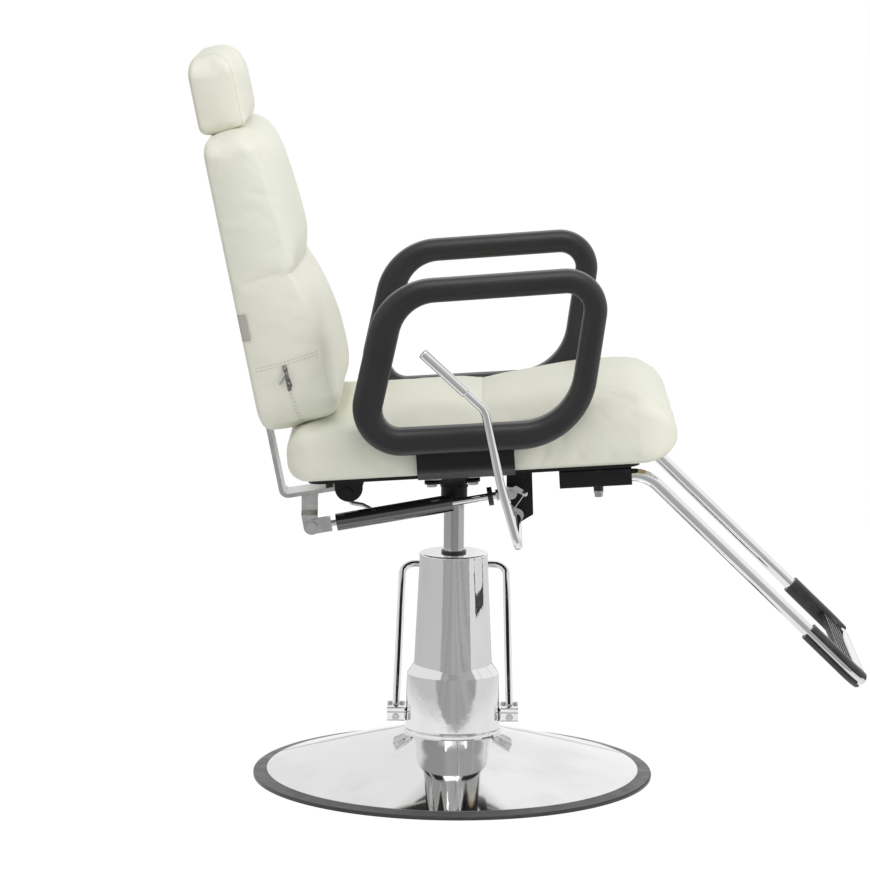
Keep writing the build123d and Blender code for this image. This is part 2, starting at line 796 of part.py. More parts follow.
def seat_parts():
    plate_top = -plate_drop + plate_thick
    board_top = pan_thick + board_thick
    bolt_top = board_top - pan_thick / 2
    middle_u = (plate_rear + plate_front) / 2
    holes, plate_bolts, stacks = [], [], []
    rim = [(plate_bolt_r + bolt_gap, -washer_dish), (spacer_r, -washer_dish), (washer_r, 0),
           (washer_r, washer_thick), (spacer_r, washer_thick - washer_dish),
           (plate_bolt_r + bolt_gap, washer_thick - washer_dish)]
    dish = rounded(rim, [0] * len(rim))
    for u in (middle_u - plate_bolt_x, middle_u + plate_bolt_x):
        for y in (-plate_bolt_y, plate_bolt_y):
            bolt, hole = seat_bolt(u, y, plate_bolt_r, plate_nut_r, plate_nut, -plate_drop, bolt_top)
            plate_bolts.append(bolt)
            holes.append(hole)
            stack = Pos(0, 0, washer_dish) * turned(dish)
            stack += disc(spacer_r, washer_thick, plate_drop - plate_thick)
            stacks.append(Pos(u, y, plate_top) * stack - hole)
    plate = Pos(middle_u, 0, -plate_drop) * extrude(
        RectangleRounded(plate_front - plate_rear, 2 * plate_half, plate_round), plate_thick)
    keep("mount_plate", SEAT * (plate - holes))
    keep("plate_spacers", *[SEAT * stack for stack in stacks])
    keep("plate_bolts", *[SEAT * bolt for bolt in plate_bolts])

    socket = disc(socket_r, socket_foot_z, seat_z)
    socket += disc(socket_r + socket_ring, socket_ring_z, socket_ring_z + socket_ring_height)
    socket -= disc(ram_r + running_gap, 0, ram_top_z + socket_top_room)
    above = SEAT * block((-pan_half, pan_half), (-pan_half, pan_half), (-plate_drop, plate_drop))
    keep("swivel_socket", socket - above)

    frame_bolts = []
    for side, name in ((-1, "right"), (1, "left")):
        flange = armrest_flange(side)
        for u in (foot_plate_rear + arm_bolt_inset, foot_plate_front - arm_bolt_inset):
            bolt, hole = seat_bolt(u, side * arm_bolt_y, arm_bolt_r, arm_bolt_head_r, arm_bolt_head,
                                   0, pan_thick + arm_bolt_bite)
            frame_bolts.append(SEAT * bolt)
            holes.append(hole)
        keep("armrest_bracket_" + name, SEAT * (flange - holes))
        keep("armrest_" + name, armrest_loop(side) - SEAT * flange)
    for u in (hinge_plate_rear + hinge_bolt_inset, hinge_plate_front - hinge_bolt_inset):
        for side in (-1, 1):
            bolt, hole = seat_bolt(u, side * (hinge_plate_half - hinge_bolt_inset), frame_bolt_r,
                                   frame_bolt_head_r, frame_bolt_head, -hinge_plate_thick,
                                   pan_thick + frame_bolt_bite)
            frame_bolts.append(SEAT * bolt)
            holes.append(hole)
    bracket_bolts, bracket_holes = release_bolts()
    keep("seat_frame_bolts", *(frame_bolts + bracket_bolts))
    keep("release_bracket", release_bracket() - bracket_holes)
    keep("hinge_bracket", hinge_bracket() - [SEAT * hole for hole in holes])
    keep("back_stop", back_stop())

    pan = extrude(Pos((pan_rear + pan_front) / 2, 0, 0) * RectangleRounded(
        pan_front - pan_rear, 2 * pan_half, pan_round), pan_thick)
    notches = []
    for side in (-1, 1):
        inner_y = foot_flange_inner_y - loose_gap
        notches.append(block((foot_plate_rear - loose_gap, foot_plate_front + loose_gap),
                             (min(side * inner_y, side * loop_y), max(side * inner_y, side * loop_y)),
                             (-overrun, overrun)))
    keep("seat_pan", SEAT * (pan - holes - notches))
    board_outline = Pos((board_rear + board_front) / 2, 0, 0) * RectangleRounded(
        board_front - board_rear, 2 * board_half, pan_round)
    board = Pos(0, 0, pan_thick) * extrude(board_outline, board_thick)
    keep("seat_board", SEAT * (board - holes))
    pocket = extrude(board_outline, board_top)
    corner = block((cushion_rear - overrun, hinge_x), (-loop_y, loop_y), (hinge_z, back_z + overrun))
    outside = corner - cross_rod(swing_r, hinge_x, hinge_z, -loop_y, loop_y)
    keep("seat_cushion", SEAT * (seat_cushion() - pocket) - outside)


def hinge_bracket():
    "Plate under the pan with two ears that hold the recline pin."
    plate = block((hinge_plate_rear, hinge_plate_front), (-hinge_plate_half, hinge_plate_half),
                  (-hinge_plate_thick, 0))
    ear = Pos(ear_centre_u, ear_centre_w) * Circle(ear_r)
    neck = Pos(ear_centre_u, ear_centre_w / 2) * Rectangle(2 * ear_r, -ear_centre_w)
    inner_y = barrel_half + ear_gap
    for y_low in (-inner_y - ear_thick, inner_y):
        plate += slab(ear + neck, y_low, y_low + ear_thick)
    pin_hole = cross_rod(hinge_pin_r, hinge_x, hinge_z, -hinge_plate_half, hinge_plate_half)
    return SEAT * plate - pin_hole


def hinge_pin():
    reach = barrel_half + ear_gap + ear_thick
    pin = cross_rod(hinge_pin_r, hinge_x, hinge_z, -reach, reach)
    for y_low in (-reach - hinge_pin_head, reach):
        pin += cross_rod(hinge_pin_head_r, hinge_x, hinge_z, y_low, y_low + hinge_pin_head)
    return pin


def bar_line(x):
    "Height of the middle of the back bar's lower leg."
    return bar_nose_z + (x - bar_nose_x) * tan(radians(bar_slope_deg))


def back_stop():
    "Rubber block under the pan that the back bar rests against when the back is upright."
    slope = tan(radians(bar_slope_deg))
    top_gap = bar_thick / 2 / cos(radians(bar_slope_deg)) + loose_gap
    pan = [seat_point(stop_rear, 0), seat_point(stop_front, 0)]
    rear_x, front_x = pan[0][0], pan[1][0]
    outline = Polyline(pan[0], pan[1], (front_x, bar_line(front_x) + top_gap),
                       (rear_x, bar_line(rear_x) + top_gap), close=True)
    stop = slab(make_face(outline), -stop_half, stop_half)
    return stop - SEAT * block((hinge_plate_rear, hinge_plate_front),
                               (-hinge_plate_half, hinge_plate_half), (-hinge_plate_thick, 0))


# Armrests
def loop_outline(side):
    "Closed outline of a loop: side +1 gives its outer edge, side -1 its inner edge."
    def line(x, z, angle_deg, width):
        "A side's edge as a place and a direction, moved out from the loop's middle."
        run = Vector(cos(radians(angle_deg)), sin(radians(angle_deg)))
        out = Vector(run.Y, -run.X)
        return Vector(x, z) + out * (side * width / 2), run

    foot = line(loop_foot_x, loop_foot_z, loop_foot_rise_deg, loop_foot_width)
    front = line(loop_front_x, loop_front_z, 90 - loop_front_lean_deg, loop_front_width)
    top = line(loop_top_x, loop_top_z, 180 + loop_top_rise_deg, loop_top_width)
    rear = line(loop_rear_x, loop_rear_z, 270 - loop_rear_lean_deg, loop_rear_width)

    def meet(one, two):
        (start, run), (other, other_run) = one, two
        gap = other - start
        cross = run.X * other_run.Y - run.Y * other_run.X
        return start + run * ((gap.X * other_run.Y - gap.Y * other_run.X) / cross)

    corners = [meet(foot, front), meet(front, top), meet(top, rear), meet(rear, foot)]
    radii = [loop_front_foot_r, loop_front_top_r, loop_rear_top_r, loop_rear_foot_r]
    grow = [side * (loop_foot_width + loop_front_width) / 4, side * loop_front_width / 2,
            side * loop_rear_width / 2, side * loop_rear_width / 2]
    return rounded([(spot.X, spot.Y) for spot in corners],
                   [radius + extra for radius, extra in zip(radii, grow)])


def armrest_loop(side):
    face = loop_outline(1) - loop_outline(-1)
    middle = side * loop_y
    loop = slab(face, middle - loop_half_depth, middle + loop_half_depth)
    return fillet(loop.edges(), loop_edge_round)


# Back
def back_parts():
    rear_n = -loose_gap - bar_thick
    middle_n = -loose_gap - bar_thick / 2
    slope = tan(radians(bar_slope_deg))
    lean = tan(radians(back_tilt_deg))
    foot_x, foot_z = back_point(middle_n, 0)
    corner_x = (foot_x + (foot_z - bar_nose_z + bar_nose_x * slope) * lean) / (1 + slope * lean)
    corner = (corner_x, bar_line(corner_x))
    path = FilletPolyline((bar_nose_x, bar_nose_z), corner, back_point(middle_n, bar_top),
                          radius=bar_bend_r)
    bar = slab(trace(path, line_width=bar_thick), -bar_half, bar_half)

    board_face = back_board_gap + back_board_thick
    bolt_end = back_board_gap + bar_bolt_bite
    bolts, bolt_holes = [], []
    for rise in (bar_bolt_low, bar_bolt_high):
        for y in (-bar_bolt_y, bar_bolt_y):
            spot = Location((0, y, rise), (0, 90, 0))
            shank = disc(bar_bolt_r, rear_n, bolt_end)
            head = disc(bar_bolt_head_r, rear_n - bar_bolt_head, rear_n)
            head = fillet(head.edges().group_by(Axis.Z)[0], bar_bolt_head / 2)
            bolts.append(spot * (head + shank))
            bolt_holes.append(spot * disc(bar_bolt_r + bolt_gap, rear_n - overrun, bolt_end))
    keep("back_bar_bolts", lug_bolt(), *[BACK * bolt for bolt in bolts])
    barrel_tool = cross_rod(barrel_r, hinge_x, hinge_z, -bar_half - overrun, bar_half + overrun)
    lug_hole = lug_bolt_place() * disc(lug_bolt_r + bolt_gap, 0, overrun)
    bar = bar - barrel_tool - [BACK * hole for hole in bolt_holes] - lug_hole
    keep("back_bar", bar)

    board = block((back_board_gap, board_face), (-back_board_half, back_board_half),
                  (back_board_low, back_board_high))
    board = fillet(board.edges().filter_by(Axis.X), pan_round)
    inner = stem_thick + 2 * loose_gap
    sleeve_front = board_face + inner + 2 * sleeve_wall
    stem_inner_half = stem_half + loose_gap
    sleeve_outer = block((board_face, sleeve_front),
                         (-stem_inner_half - sleeve_wall, stem_inner_half + sleeve_wall),
                         (back_height - sleeve_length, back_height - head_gap))
    slot = block((board_face + sleeve_wall, sleeve_front - sleeve_wall),
                 (-stem_inner_half, stem_inner_half), (0, back_height + overrun))
    keep("headrest_sleeve", BACK * (sleeve_outer - slot))
    keep("back_board", BACK * (board - bolt_holes))
    swing = cross_rod(swing_r + swing_gap, hinge_x, hinge_z, -loop_y, loop_y)
    stuffed = BACK * (back_cushion() - board - bolt_holes - sleeve_outer - slot)
    keep("back_cushion", stuffed - swing)

    barrel = cross_rod(barrel_r, hinge_x, hinge_z, -barrel_half, barrel_half)
    barrel -= cross_rod(hinge_pin_r + running_gap, hinge_x, hinge_z, -barrel_half, barrel_half)
    keep("hinge_barrel", barrel + barrel_arm())
    lug_parts()


def barrel_arm():
    "Bent rod welded under the hinge barrel, which swings with the back."
    down = barrel_r + arm_rod_r
    reach = 2 * barrel_r
    points = [(hinge_x + arm_rod_r, arm_rod_y, hinge_z - barrel_r / 2),
              (hinge_x + arm_rod_r, arm_rod_y, hinge_z - 2 * barrel_r),
              (hinge_x + reach, arm_rod_y, hinge_z - 2 * barrel_r - arm_rod_r),
              (hinge_x + 2 * reach, arm_rod_y, hinge_z - 2 * barrel_r - down)]
    bend = barrel_r / 2
    return swept(points, [bend, bend], arm_rod_r) - cross_rod(
        barrel_r, hinge_x, hinge_z, -barrel_half, barrel_half)


def lug_bolt_place():
    "Where the lug bolt's head bears on the lug, with +Z up through the back bar."
    middle_x = (lug_rear_x + lug_front_x) / 2
    foot_z = bar_line(middle_x) - (bar_thick / 2 + lug_thick) / cos(radians(bar_slope_deg))
    return Location((middle_x, 0, foot_z), (0, -bar_slope_deg, 0)) * Pos(0, lug_bolt_y, 0)


def lug_bolt():
    "Bolt from below through the lug's flange and the back bar."
    head = hexagon(lug_bolt_head_r, -lug_bolt_head, 0)
    return lug_bolt_place() * (head + disc(lug_bolt_r, 0, bar_thick + lug_thick))


def lug_parts():
    "Lug that carries the strut's rear end: flange under the bar, joggled plate beside it."
    under = bar_thick / 2 / cos(radians(bar_slope_deg))
    flange_drop = lug_thick / cos(radians(bar_slope_deg))
    rear, front = lug_rear_x, lug_front_x
    flange = slab(make_face(Polyline(
        (rear, bar_line(rear) - under), (front, bar_line(front) - under),
        (front, bar_line(front) - under - flange_drop),
        (rear, bar_line(rear) - under - flange_drop), close=True)), -bar_half, lug_flange_y)
    plate_outer = -bar_half - lug_thick / 2
    high = [(rear, bar_line(rear) - under), (front, bar_line(front) - under),
            (front, lug_joggle_z), (rear, lug_joggle_z)]
    upper = slab(make_face(Polyline(*high, close=True)), plate_outer, -bar_half + lug_thick / 2)
    foot = Pos(strut_rear_x, strut_rear_z) * Circle(lug_half)
    low = make_face(Polyline(
        (rear, lug_joggle_z - lug_joggle), (front, lug_joggle_z - lug_joggle),
        (strut_rear_x + lug_half, strut_rear_z), (strut_rear_x - lug_half, strut_rear_z), close=True))
    low_span = (strut_y - lug_thick / 2, strut_y + lug_thick / 2)
    lower = slab(low + foot, *low_span)
    joggle = Polyline((plate_outer, lug_joggle_z), (plate_outer + lug_thick, lug_joggle_z),
                      (low_span[1], lug_joggle_z - lug_joggle),
                      (low_span[0], lug_joggle_z - lug_joggle), close=True)
    bridge = Pos(rear, 0, 0) * extrude(Plane.YZ * make_face(joggle), front - rear)
    pin_hole = cross_rod(open_pin_r, strut_rear_x, strut_rear_z, strut_y - lug_thick,
                         strut_y + lug_thick)
    lug = flange + upper + bridge + lower - pin_hole
    lug -= lug_bolt_place() * disc(lug_bolt_r + bolt_gap, -bolt_gap, overrun)
    keep("strut_lug", lug)
    pin_low = strut_y - lug_thick / 2 - clevis_gap - clevis_thick - clevis_gap
    pin_high = strut_y + lug_thick / 2 + clevis_gap + clevis_thick + clevis_gap
    pin = cross_rod(open_pin_r, strut_rear_x, strut_rear_z, pin_low, pin_high)
    pin += cross_rod(open_pin_head_r, strut_rear_x, strut_rear_z, pin_low - open_pin_head, pin_low)
    pin += cross_rod(open_pin_head_r, strut_rear_x, strut_rear_z, pin_high, pin_high + open_pin_head)
    keep("strut_rear_pin", pin)


# Headrest
def headrest_parts():
    inner_rear = back_board_gap + back_board_thick + sleeve_wall + loose_gap
    stem_front = inner_rear + stem_thick
    top = back_height + head_gap
    stem = block((inner_rear, stem_front), (-stem_half, stem_half), (top - stem_below, top + stem_above))
    board = block((stem_front, stem_front + head_board_thick), (-head_board_half, head_board_half),
                  (top + head_board_low, top + head_board_high))
    board = fillet(board.edges().filter_by(Axis.X), head_corner_r)
    bolts, holes = [], []
    for rise in (top + head_board_low + stem_bolt_rise, top + stem_above - stem_bolt_rise):
        spot = Location((0, 0, rise), (0, 90, 0))
        shank = disc(stem_bolt_r, inner_rear, stem_front + head_board_thick / 2)
        head = disc(stem_bolt_head_r, inner_rear - stem_bolt_head, inner_rear)
        bolts.append(spot * (shank + head))
        holes.append(spot * disc(stem_bolt_r + bolt_gap, inner_rear, stem_front + head_board_thick / 2))
        holes.append(spot * disc(stem_bolt_head_r + bolt_gap, inner_rear - stem_bolt_head, inner_rear))
    keep("headrest_stem", BACK * (stem - holes))
    keep("headrest_board", BACK * (board - holes))
    keep("headrest_bolts", *[BACK * bolt for bolt in bolts])
    keep("headrest_cushion", BACK * (headrest_cushion() - stem - board - holes))


# Strut
def along(solid):
    "Turn an upright solid so that its +Z runs forward along the strut."
    return STRUT * Location((0, 0, 0), (0, 90, 0)) * solid


def strut_parts():
    inner_half = lug_thick / 2 + clevis_gap
    outer_half = inner_half + clevis_thick
    cheek = SlotOverall(clevis_reach + clevis_tail, 2 * clevis_half)
    cheek = Pos((clevis_reach - clevis_tail) / 2, 0) * cheek
    square = Pos(clevis_reach / 2, 0) * Rectangle(clevis_reach, 2 * clevis_half)
    clevis = slab(cheek + square, -outer_half, outer_half)
    clevis -= block((-clevis_tail - overrun, clevis_reach - clevis_web), (-inner_half, inner_half),
                    (-overrun, overrun))
    clevis -= cross_rod(open_pin_r + open_pin_gap, 0, 0, -outer_half, outer_half)
    keep("strut_clevis", STRUT * clevis + along(disc(neck_r, clevis_reach, tube_start)))
    tube = disc(tube_r, tube_start, tube_end)
    tube -= disc(tube_r - tube_wall, tube_start + tube_cap, tube_end)
    keep("strut_tube", along(tube))
    gland = disc(tube_r - tube_wall, tube_end - gland_length, tube_end)
    keep("strut_gland", along(gland - disc(rod_r + running_gap, tube_end - gland_length, tube_end)))

    head_foot = strut_span - head_neck_behind
    piston = disc(tube_r - tube_wall - piston_gap, piston_place - piston_length, piston_place)
    keep("strut_rod", along(disc(rod_r, piston_place, head_foot) + piston))
    disc_foot = strut_span - disc_behind
    bump = disc(disc_r, disc_foot - disc_thick, disc_foot) - disc(rod_r, 0, strut_span)
    keep("strut_bump_disc", along(bump))
    nut_foot = strut_span - locknut_behind
    locknut = along(hexagon(locknut_r, nut_foot - locknut_thick, nut_foot) - disc(rod_r, 0, strut_span))
    boss = cross_rod(head_boss_r, strut_span, 0, -head_boss_half, head_boss_half)
    neck = block((head_foot, strut_span), (-head_boss_half, head_boss_half),
                 (-head_neck_half, head_neck_half))
    pin_hole = cross_rod(front_pin_r + running_gap, strut_span, 0, -overrun, overrun)
    ear = slab(trip_ear(), strut_y - head_boss_half, strut_y - head_boss_half + trip_arm_thick)
    head = STRUT * (boss + neck - pin_hole)
    pivot_hole = cross_rod(trip_pin_r, trip_pivot_x, trip_pivot_z, strut_y - overrun, strut_y + overrun)
    front_hole = cross_rod(front_pin_r + running_gap, strut_front_x, strut_front_z,
                           strut_y - overrun, strut_y + overrun)
    keep("release_head", head + (ear - front_hole) - pivot_hole, locknut, trip_parts())


def trip_ear():
    "Outline of the lug on the release head that holds the trip arm's pivot."
    return make_hull([Pos(strut_front_x, strut_front_z) * Circle(trip_arm_r).edge(),
                      Pos(trip_pivot_x, trip_pivot_z) * Circle(trip_arm_r).edge()])


def trip_parts():
    "Trip arm with its ball and the wire to the lever's crank; hands back the arm's pivot pin."
    ear_face = strut_y - head_boss_half
    pin_low = ear_face - running_gap - trip_arm_thick
    arm_outline = make_hull([Pos(trip_pivot_x, trip_pivot_z) * Circle(trip_arm_r).edge(),
                             Pos(ball_x, ball_z) * Circle(ball_r - trip_pin_r / 2).edge()])
    arm = slab(arm_outline, pin_low, ear_face - running_gap)
    arm -= cross_rod(trip_pin_r + running_gap, trip_pivot_x, trip_pivot_z, pin_low, ear_face)
    pin = cross_rod(trip_pin_r, trip_pivot_x, trip_pivot_z, pin_low - trip_pin_r,
                    ear_face + trip_arm_thick)
    pin += cross_rod(trip_arm_r, trip_pivot_x, trip_pivot_z, pin_low - trip_pin_r,
                     pin_low - running_gap)
    ball_y = pin_low - ball_r / 2
    ball = Pos(ball_x, ball_y, ball_z) * Sphere(ball_r)
    keep("trip_arm", arm)
    keep("release_wire", (release_wire(ball_y) + ball) - arm)
    return pin


def release_wire(ball_y):
    "Stiff wire from the ball down to an open eye round the crank's pin."
    drop = Vector(crank_eye_x - ball_x, 0, crank_eye_z - ball_z)
    length = drop.length
    run = drop / length
    eye = Vector(crank_eye_x, ball_y, crank_eye_z)
    hook = eye - run * wire_eye_r
    stem = Plane(origin=Vector(ball_x, ball_y, ball_z), z_dir=run) * disc(
        wire_r, 0, length - wire_eye_r)
    ring = Location((eye.X, eye.Y, eye.Z), (90, 0, 0)) * Torus(wire_eye_r, wire_r)
    return stem + ring


# Release lever
def lever_parts():
    shaft = [(shaft_x, lever_end_y, shaft_z), (shaft_x, lever_y, shaft_z)]
    grip = (lever_grip_x, lever_y, lever_grip_z)
    elbow = (lever_elbow_x, lever_y, lever_elbow_z)
    points = shaft + [(lever_knee_x, lever_y, lever_knee_z), elbow, grip]
    rod = swept(points, [lever_foot_bend_r, lever_bend_r, lever_bend_r], lever_rod_r)
    run = Vector(lever_elbow_x - lever_grip_x, 0, lever_elbow_z - lever_grip_z).normalized()
    handle = Plane(origin=grip, z_dir=run) * disc(grip_r, -grip_r, grip_length)
    handle = fillet(handle.edges().filter_by(GeomType.CIRCLE), grip_r / 3)
    keep("lever_grip", handle - rod)
    keep("lever_rod", rod)
    inner = cheek_y - cheek_thick / 2
    collars = [cross_rod(collar_r, shaft_x, shaft_z, inner - running_gap - collar_width,
                         inner - running_gap) - cross_rod(lever_rod_r, shaft_x, shaft_z, 0, inner),
               cross_rod(collar_r, shaft_x, shaft_z, -inner + running_gap,
                         -inner + running_gap + collar_width)
               - cross_rod(lever_rod_r, shaft_x, shaft_z, -inner, 0)]
    keep("shaft_collars", *collars)
    crank_low = strut_y - crank_thick / 2
    outline = make_hull([Pos(shaft_x, shaft_z) * Circle(crank_r).edge(),
                         Pos(crank_eye_x, crank_eye_z) * Circle(crank_tip_r).edge()])
    crank = slab(outline, crank_low, crank_low + crank_thick)
    crank -= cross_rod(lever_rod_r, shaft_x, shaft_z, crank_low, crank_low + crank_thick)
    crank += cross_rod(crank_pin_r, crank_eye_x, crank_eye_z, crank_low - crank_pin_reach, crank_low)
    keep("lever_crank", crank)


def release_bracket():
    "Channel that hangs from the pan: it bears the lever's shaft and the strut's front pin."
    rear_top = seat_point(bracket_rear_x, 0)
    front_top = seat_point(bracket_front_x, 0)
    outline = rounded([rear_top, (bracket_rear_x, bracket_knee_z), (bracket_toe_x, bracket_toe_z),
                       (bracket_heel_x, bracket_heel_z), front_top],
                      [0, bracket_round, bracket_round, bracket_round, 0])
    cheek = outline + Pos(shaft_x, shaft_z) * Circle(bearing_r)
    flange = slab(make_face(Polyline(rear_top, front_top,
                                     seat_point(bracket_front_x, -bracket_flange),
                                     seat_point(bracket_rear_x, -bracket_flange), close=True)),
                  -cheek_y, cheek_y)
    bracket = flange
    for y in (-cheek_y, cheek_y):
        bracket += slab(cheek, y - cheek_thick / 2, y + cheek_thick / 2)
    shaft_hole = cross_rod(lever_rod_r + running_gap, shaft_x, shaft_z, -cheek_y - overrun,
                           cheek_y + overrun)
    pin_hole = cross_rod(front_pin_r, strut_front_x, strut_front_z, -cheek_y - overrun, 0)
    return bracket - shaft_hole - pin_hole


def release_bolts():
    "The two bolts that hold the release bracket under the pan, and their holes."
    bolts, holes = [], []
    for share in (0.25, 0.75):
        u = bracket_rear_x + share * (bracket_front_x - bracket_rear_x)
        bolt, hole = seat_bolt(u, 0, frame_bolt_r, frame_bolt_head_r, frame_bolt_head,
                               -bracket_flange, 0)
        bolts.append(SEAT * bolt)
        holes.append(SEAT * hole)
    return bolts, holes


def release_parts():
    pin_low = strut_y - head_boss_half - running_gap
    pin_high = -cheek_y + cheek_thick / 2
    pin = cross_rod(front_pin_r, strut_front_x, strut_front_z, pin_low, pin_high)
    pin += across(hexagon(front_pin_head_r, 0, front_pin_head), strut_front_x, pin_low, strut_front_z)
    pin += cross_rod(front_pin_head_r, strut_front_x, strut_front_z, pin_high,
                     pin_high + front_pin_head)
    keep("strut_front_pin", pin)


# Footrest
def step_point(x):
    "Height of the footrest tube's sloping run."
    return step_line_z - (x - step_line_x) * tan(radians(step_slope_deg))


def footrest_parts():
    holder_w = -holder_drop - holder_size / 2
    start = seat_point(step_tube_start, holder_w)
    tilt = tan(radians(seat_tilt_deg))
    slope = tan(radians(step_slope_deg))
    corner_x = (step_line_z + step_line_x * slope - start[1] + start[0] * tilt) / (tilt + slope)
    corner = (corner_x, step_point(corner_x))
    end = (step_end_x, step_point(step_end_x))
    near = [(x, -tube_half_span, z) for x, z in (start, corner, end)]
    far = [(x, tube_half_span, z) for x, z in (end, corner, start)]
    bends = [step_bend_r, step_corner_r, step_corner_r, step_bend_r]
    tube = swept(near + far, bends, step_tube_r)
    bore = swept(near + far, bends, step_tube_r - step_tube_wall)
    keep("footrest_tube", tube - bore)
    STEP = Location((end[0], 0, end[1]), (0, step_slope_deg, 0))
    keep("footrest_pad", STEP * footrest_pad())


def footrest_pad():
    "Ribbed rubber tread whose open channels grip the tubes round their elbows, in the step's frame."
    grip_half = step_tube_r + pad_wall
    channel = RectangleRounded(2 * grip_half, 2 * grip_half, grip_half - step_tube_r / 2)
    channel -= Circle(step_tube_r) + Pos(grip_half, 0) * Rectangle(2 * grip_half, 2 * pad_lip)
    pad = None
    for side in (-1, 1):
        line_y = side * tube_half_span
        turns = [radians(pad_elbow_deg) * step / 2 for step in range(3)]
        bend = [(step_corner_r * (sin(turn) - 1), line_y - side * step_corner_r * (1 - cos(turn)))
                for turn in turns]
        path = Wire([Line((-pad_length, line_y), bend[0]), ThreePointArc(*bend)])
        start = Plane(origin=(-pad_length, line_y), x_dir=(0, side, 0), z_dir=(1, 0, 0))
        sleeve = sweep(start * channel, path=path)
        pad = sleeve if pad is None else pad + sleeve
    span = (step_tube_r - tube_half_span, tube_half_span - step_tube_r)
    web_span = (-pad_length + pad_web_start, -pad_web_end)
    web = block(web_span, span, (-pad_web / 2, pad_web / 2))
    pitch = (web_span[1] - web_span[0]) / pad_rib_count
    for rib in range(pad_rib_count):
        x_low = web_span[0] + pitch * (rib + 1 / 2) - pad_rib_width / 2
        web += block((x_low, x_low + pad_rib_width), span, (0, pad_web / 2 + pad_rib_height))
    bore = [(-pad_length - overrun, -tube_half_span), (0, -tube_half_span),
            (0, tube_half_span), (-pad_length - overrun, tube_half_span)]
    return pad + (web - swept(bore, [step_corner_r, step_corner_r], grip_half - pad_wall / 2))


def holder_parts():
    "Square sockets under the pan that take the footrest tubes, each with a locking screw."
    holder_w = -holder_drop - holder_size / 2
    half = holder_size / 2
    names = {-1: "right", 1: "left"}
    screws = []
    for side in (-1, 1):
        y = side * tube_half_span
        body = block((holder_rear, holder_front), (y - half, y + half), (holder_w - half, holder_w + half))
        body = fillet(body.edges().filter_by(Axis.X), holder_round)
        rear_tab = (holder_rear, holder_rear + holder_tab_rear_length)
        front_tab = (holder_front - holder_tab_front_length, holder_front)
        for tab in (rear_tab, front_tab):
            body += block(tab, (y - half + holder_round, y + half - holder_round), (-holder_drop, 0))
        bore = Location((holder_rear, y, holder_w), (0, 90, 0)) * disc(
            step_tube_r + holder_bore_gap, 0, holder_front - holder_rear)
        screw_spot = Pos(lock_screw_u, y, 0)
        tip = holder_w - step_tube_r - loose_gap
        foot = holder_w - half
        body = body - bore - screw_spot * disc(lock_screw_r, foot - overrun, holder_w)
        keep("footrest_socket_" + names[side], SEAT * body)
        screw = disc(lock_nut_r, foot - lock_nut, foot) + disc(lock_screw_r, foot - lock_nut, tip)
        screw += hexagon(lock_head_r, foot - lock_nut - lock_head, foot - lock_nut)
        screws.append(SEAT * screw_spot * screw)
    keep("socket_lock_screws", *screws)


base_parts()
pedal_parts()
ram_parts()
seat_parts()
keep("hinge_pin", hinge_pin())
release_parts()
holder_parts()
back_parts()
headrest_parts()
strut_parts()
lever_parts()
footrest_parts()

os.makedirs("parts", exist_ok=True)
for name, piece in pieces.items():
    export_step(piece, "parts/" + name + ".step")
print(len(pieces), "nodes")
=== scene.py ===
import json
from math import ceil, cos, pi, radians, sin, sqrt

import bmesh
import bpy
import numpy as np
from mathutils import Matrix, Vector
from mathutils.bvhtree import BVHTree


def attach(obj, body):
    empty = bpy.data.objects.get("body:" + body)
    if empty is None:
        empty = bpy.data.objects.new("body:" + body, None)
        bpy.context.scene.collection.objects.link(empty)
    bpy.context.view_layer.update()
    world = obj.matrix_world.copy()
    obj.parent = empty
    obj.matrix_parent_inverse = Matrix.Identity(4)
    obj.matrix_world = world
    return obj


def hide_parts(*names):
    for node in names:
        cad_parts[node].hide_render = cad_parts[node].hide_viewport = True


# Hairdressing chair: finishes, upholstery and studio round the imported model. Metres.
# +X is the way the sitter faces, +Y the sitter's left, +Z up, the origin on the floor.

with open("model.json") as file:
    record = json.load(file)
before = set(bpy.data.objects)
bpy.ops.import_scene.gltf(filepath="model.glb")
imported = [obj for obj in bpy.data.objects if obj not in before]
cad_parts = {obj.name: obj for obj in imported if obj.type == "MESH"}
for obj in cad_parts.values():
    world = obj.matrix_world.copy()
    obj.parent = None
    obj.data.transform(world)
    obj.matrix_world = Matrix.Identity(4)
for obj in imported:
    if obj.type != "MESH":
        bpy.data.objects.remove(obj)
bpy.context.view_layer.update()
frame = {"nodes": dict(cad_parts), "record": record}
scene = bpy.context.scene

# Sizes that repeat the source's. Seams and rolls count from a cushion's rear or lower edge.
seat_place = (0.0, 0.480)
seat_tilt = radians(3.7)
back_place = (-0.276, 0.555)
back_tilt = radians(11.7)
hinge = (-0.157, 0.4258)
swing_r = 0.1366
swing_gap = 0.0008
pan_thick = 0.005
cushion_rear, cushion_front = -0.234, 0.321
cushion_half = 0.2375
cushion_thick, cushion_crown = 0.085, 0.006
cushion_seam, front_roll, roll_run = 0.281, 0.015, 0.178
back_half, back_sag, back_height = 0.225, 0.0185, 0.406
back_crown, crown_run = 0.012, 0.080
back_seam, lumbar_place, lumbar_run = 0.201, 0.080, 0.121
back_face, upper_swell, upper_taper = 0.098, 0.0085, 0.021
head_half, head_height, head_rear, head_gap = 0.128, 0.1125, -0.0065, 0.0008
head_thick, head_crown = 0.0735, 0.0045

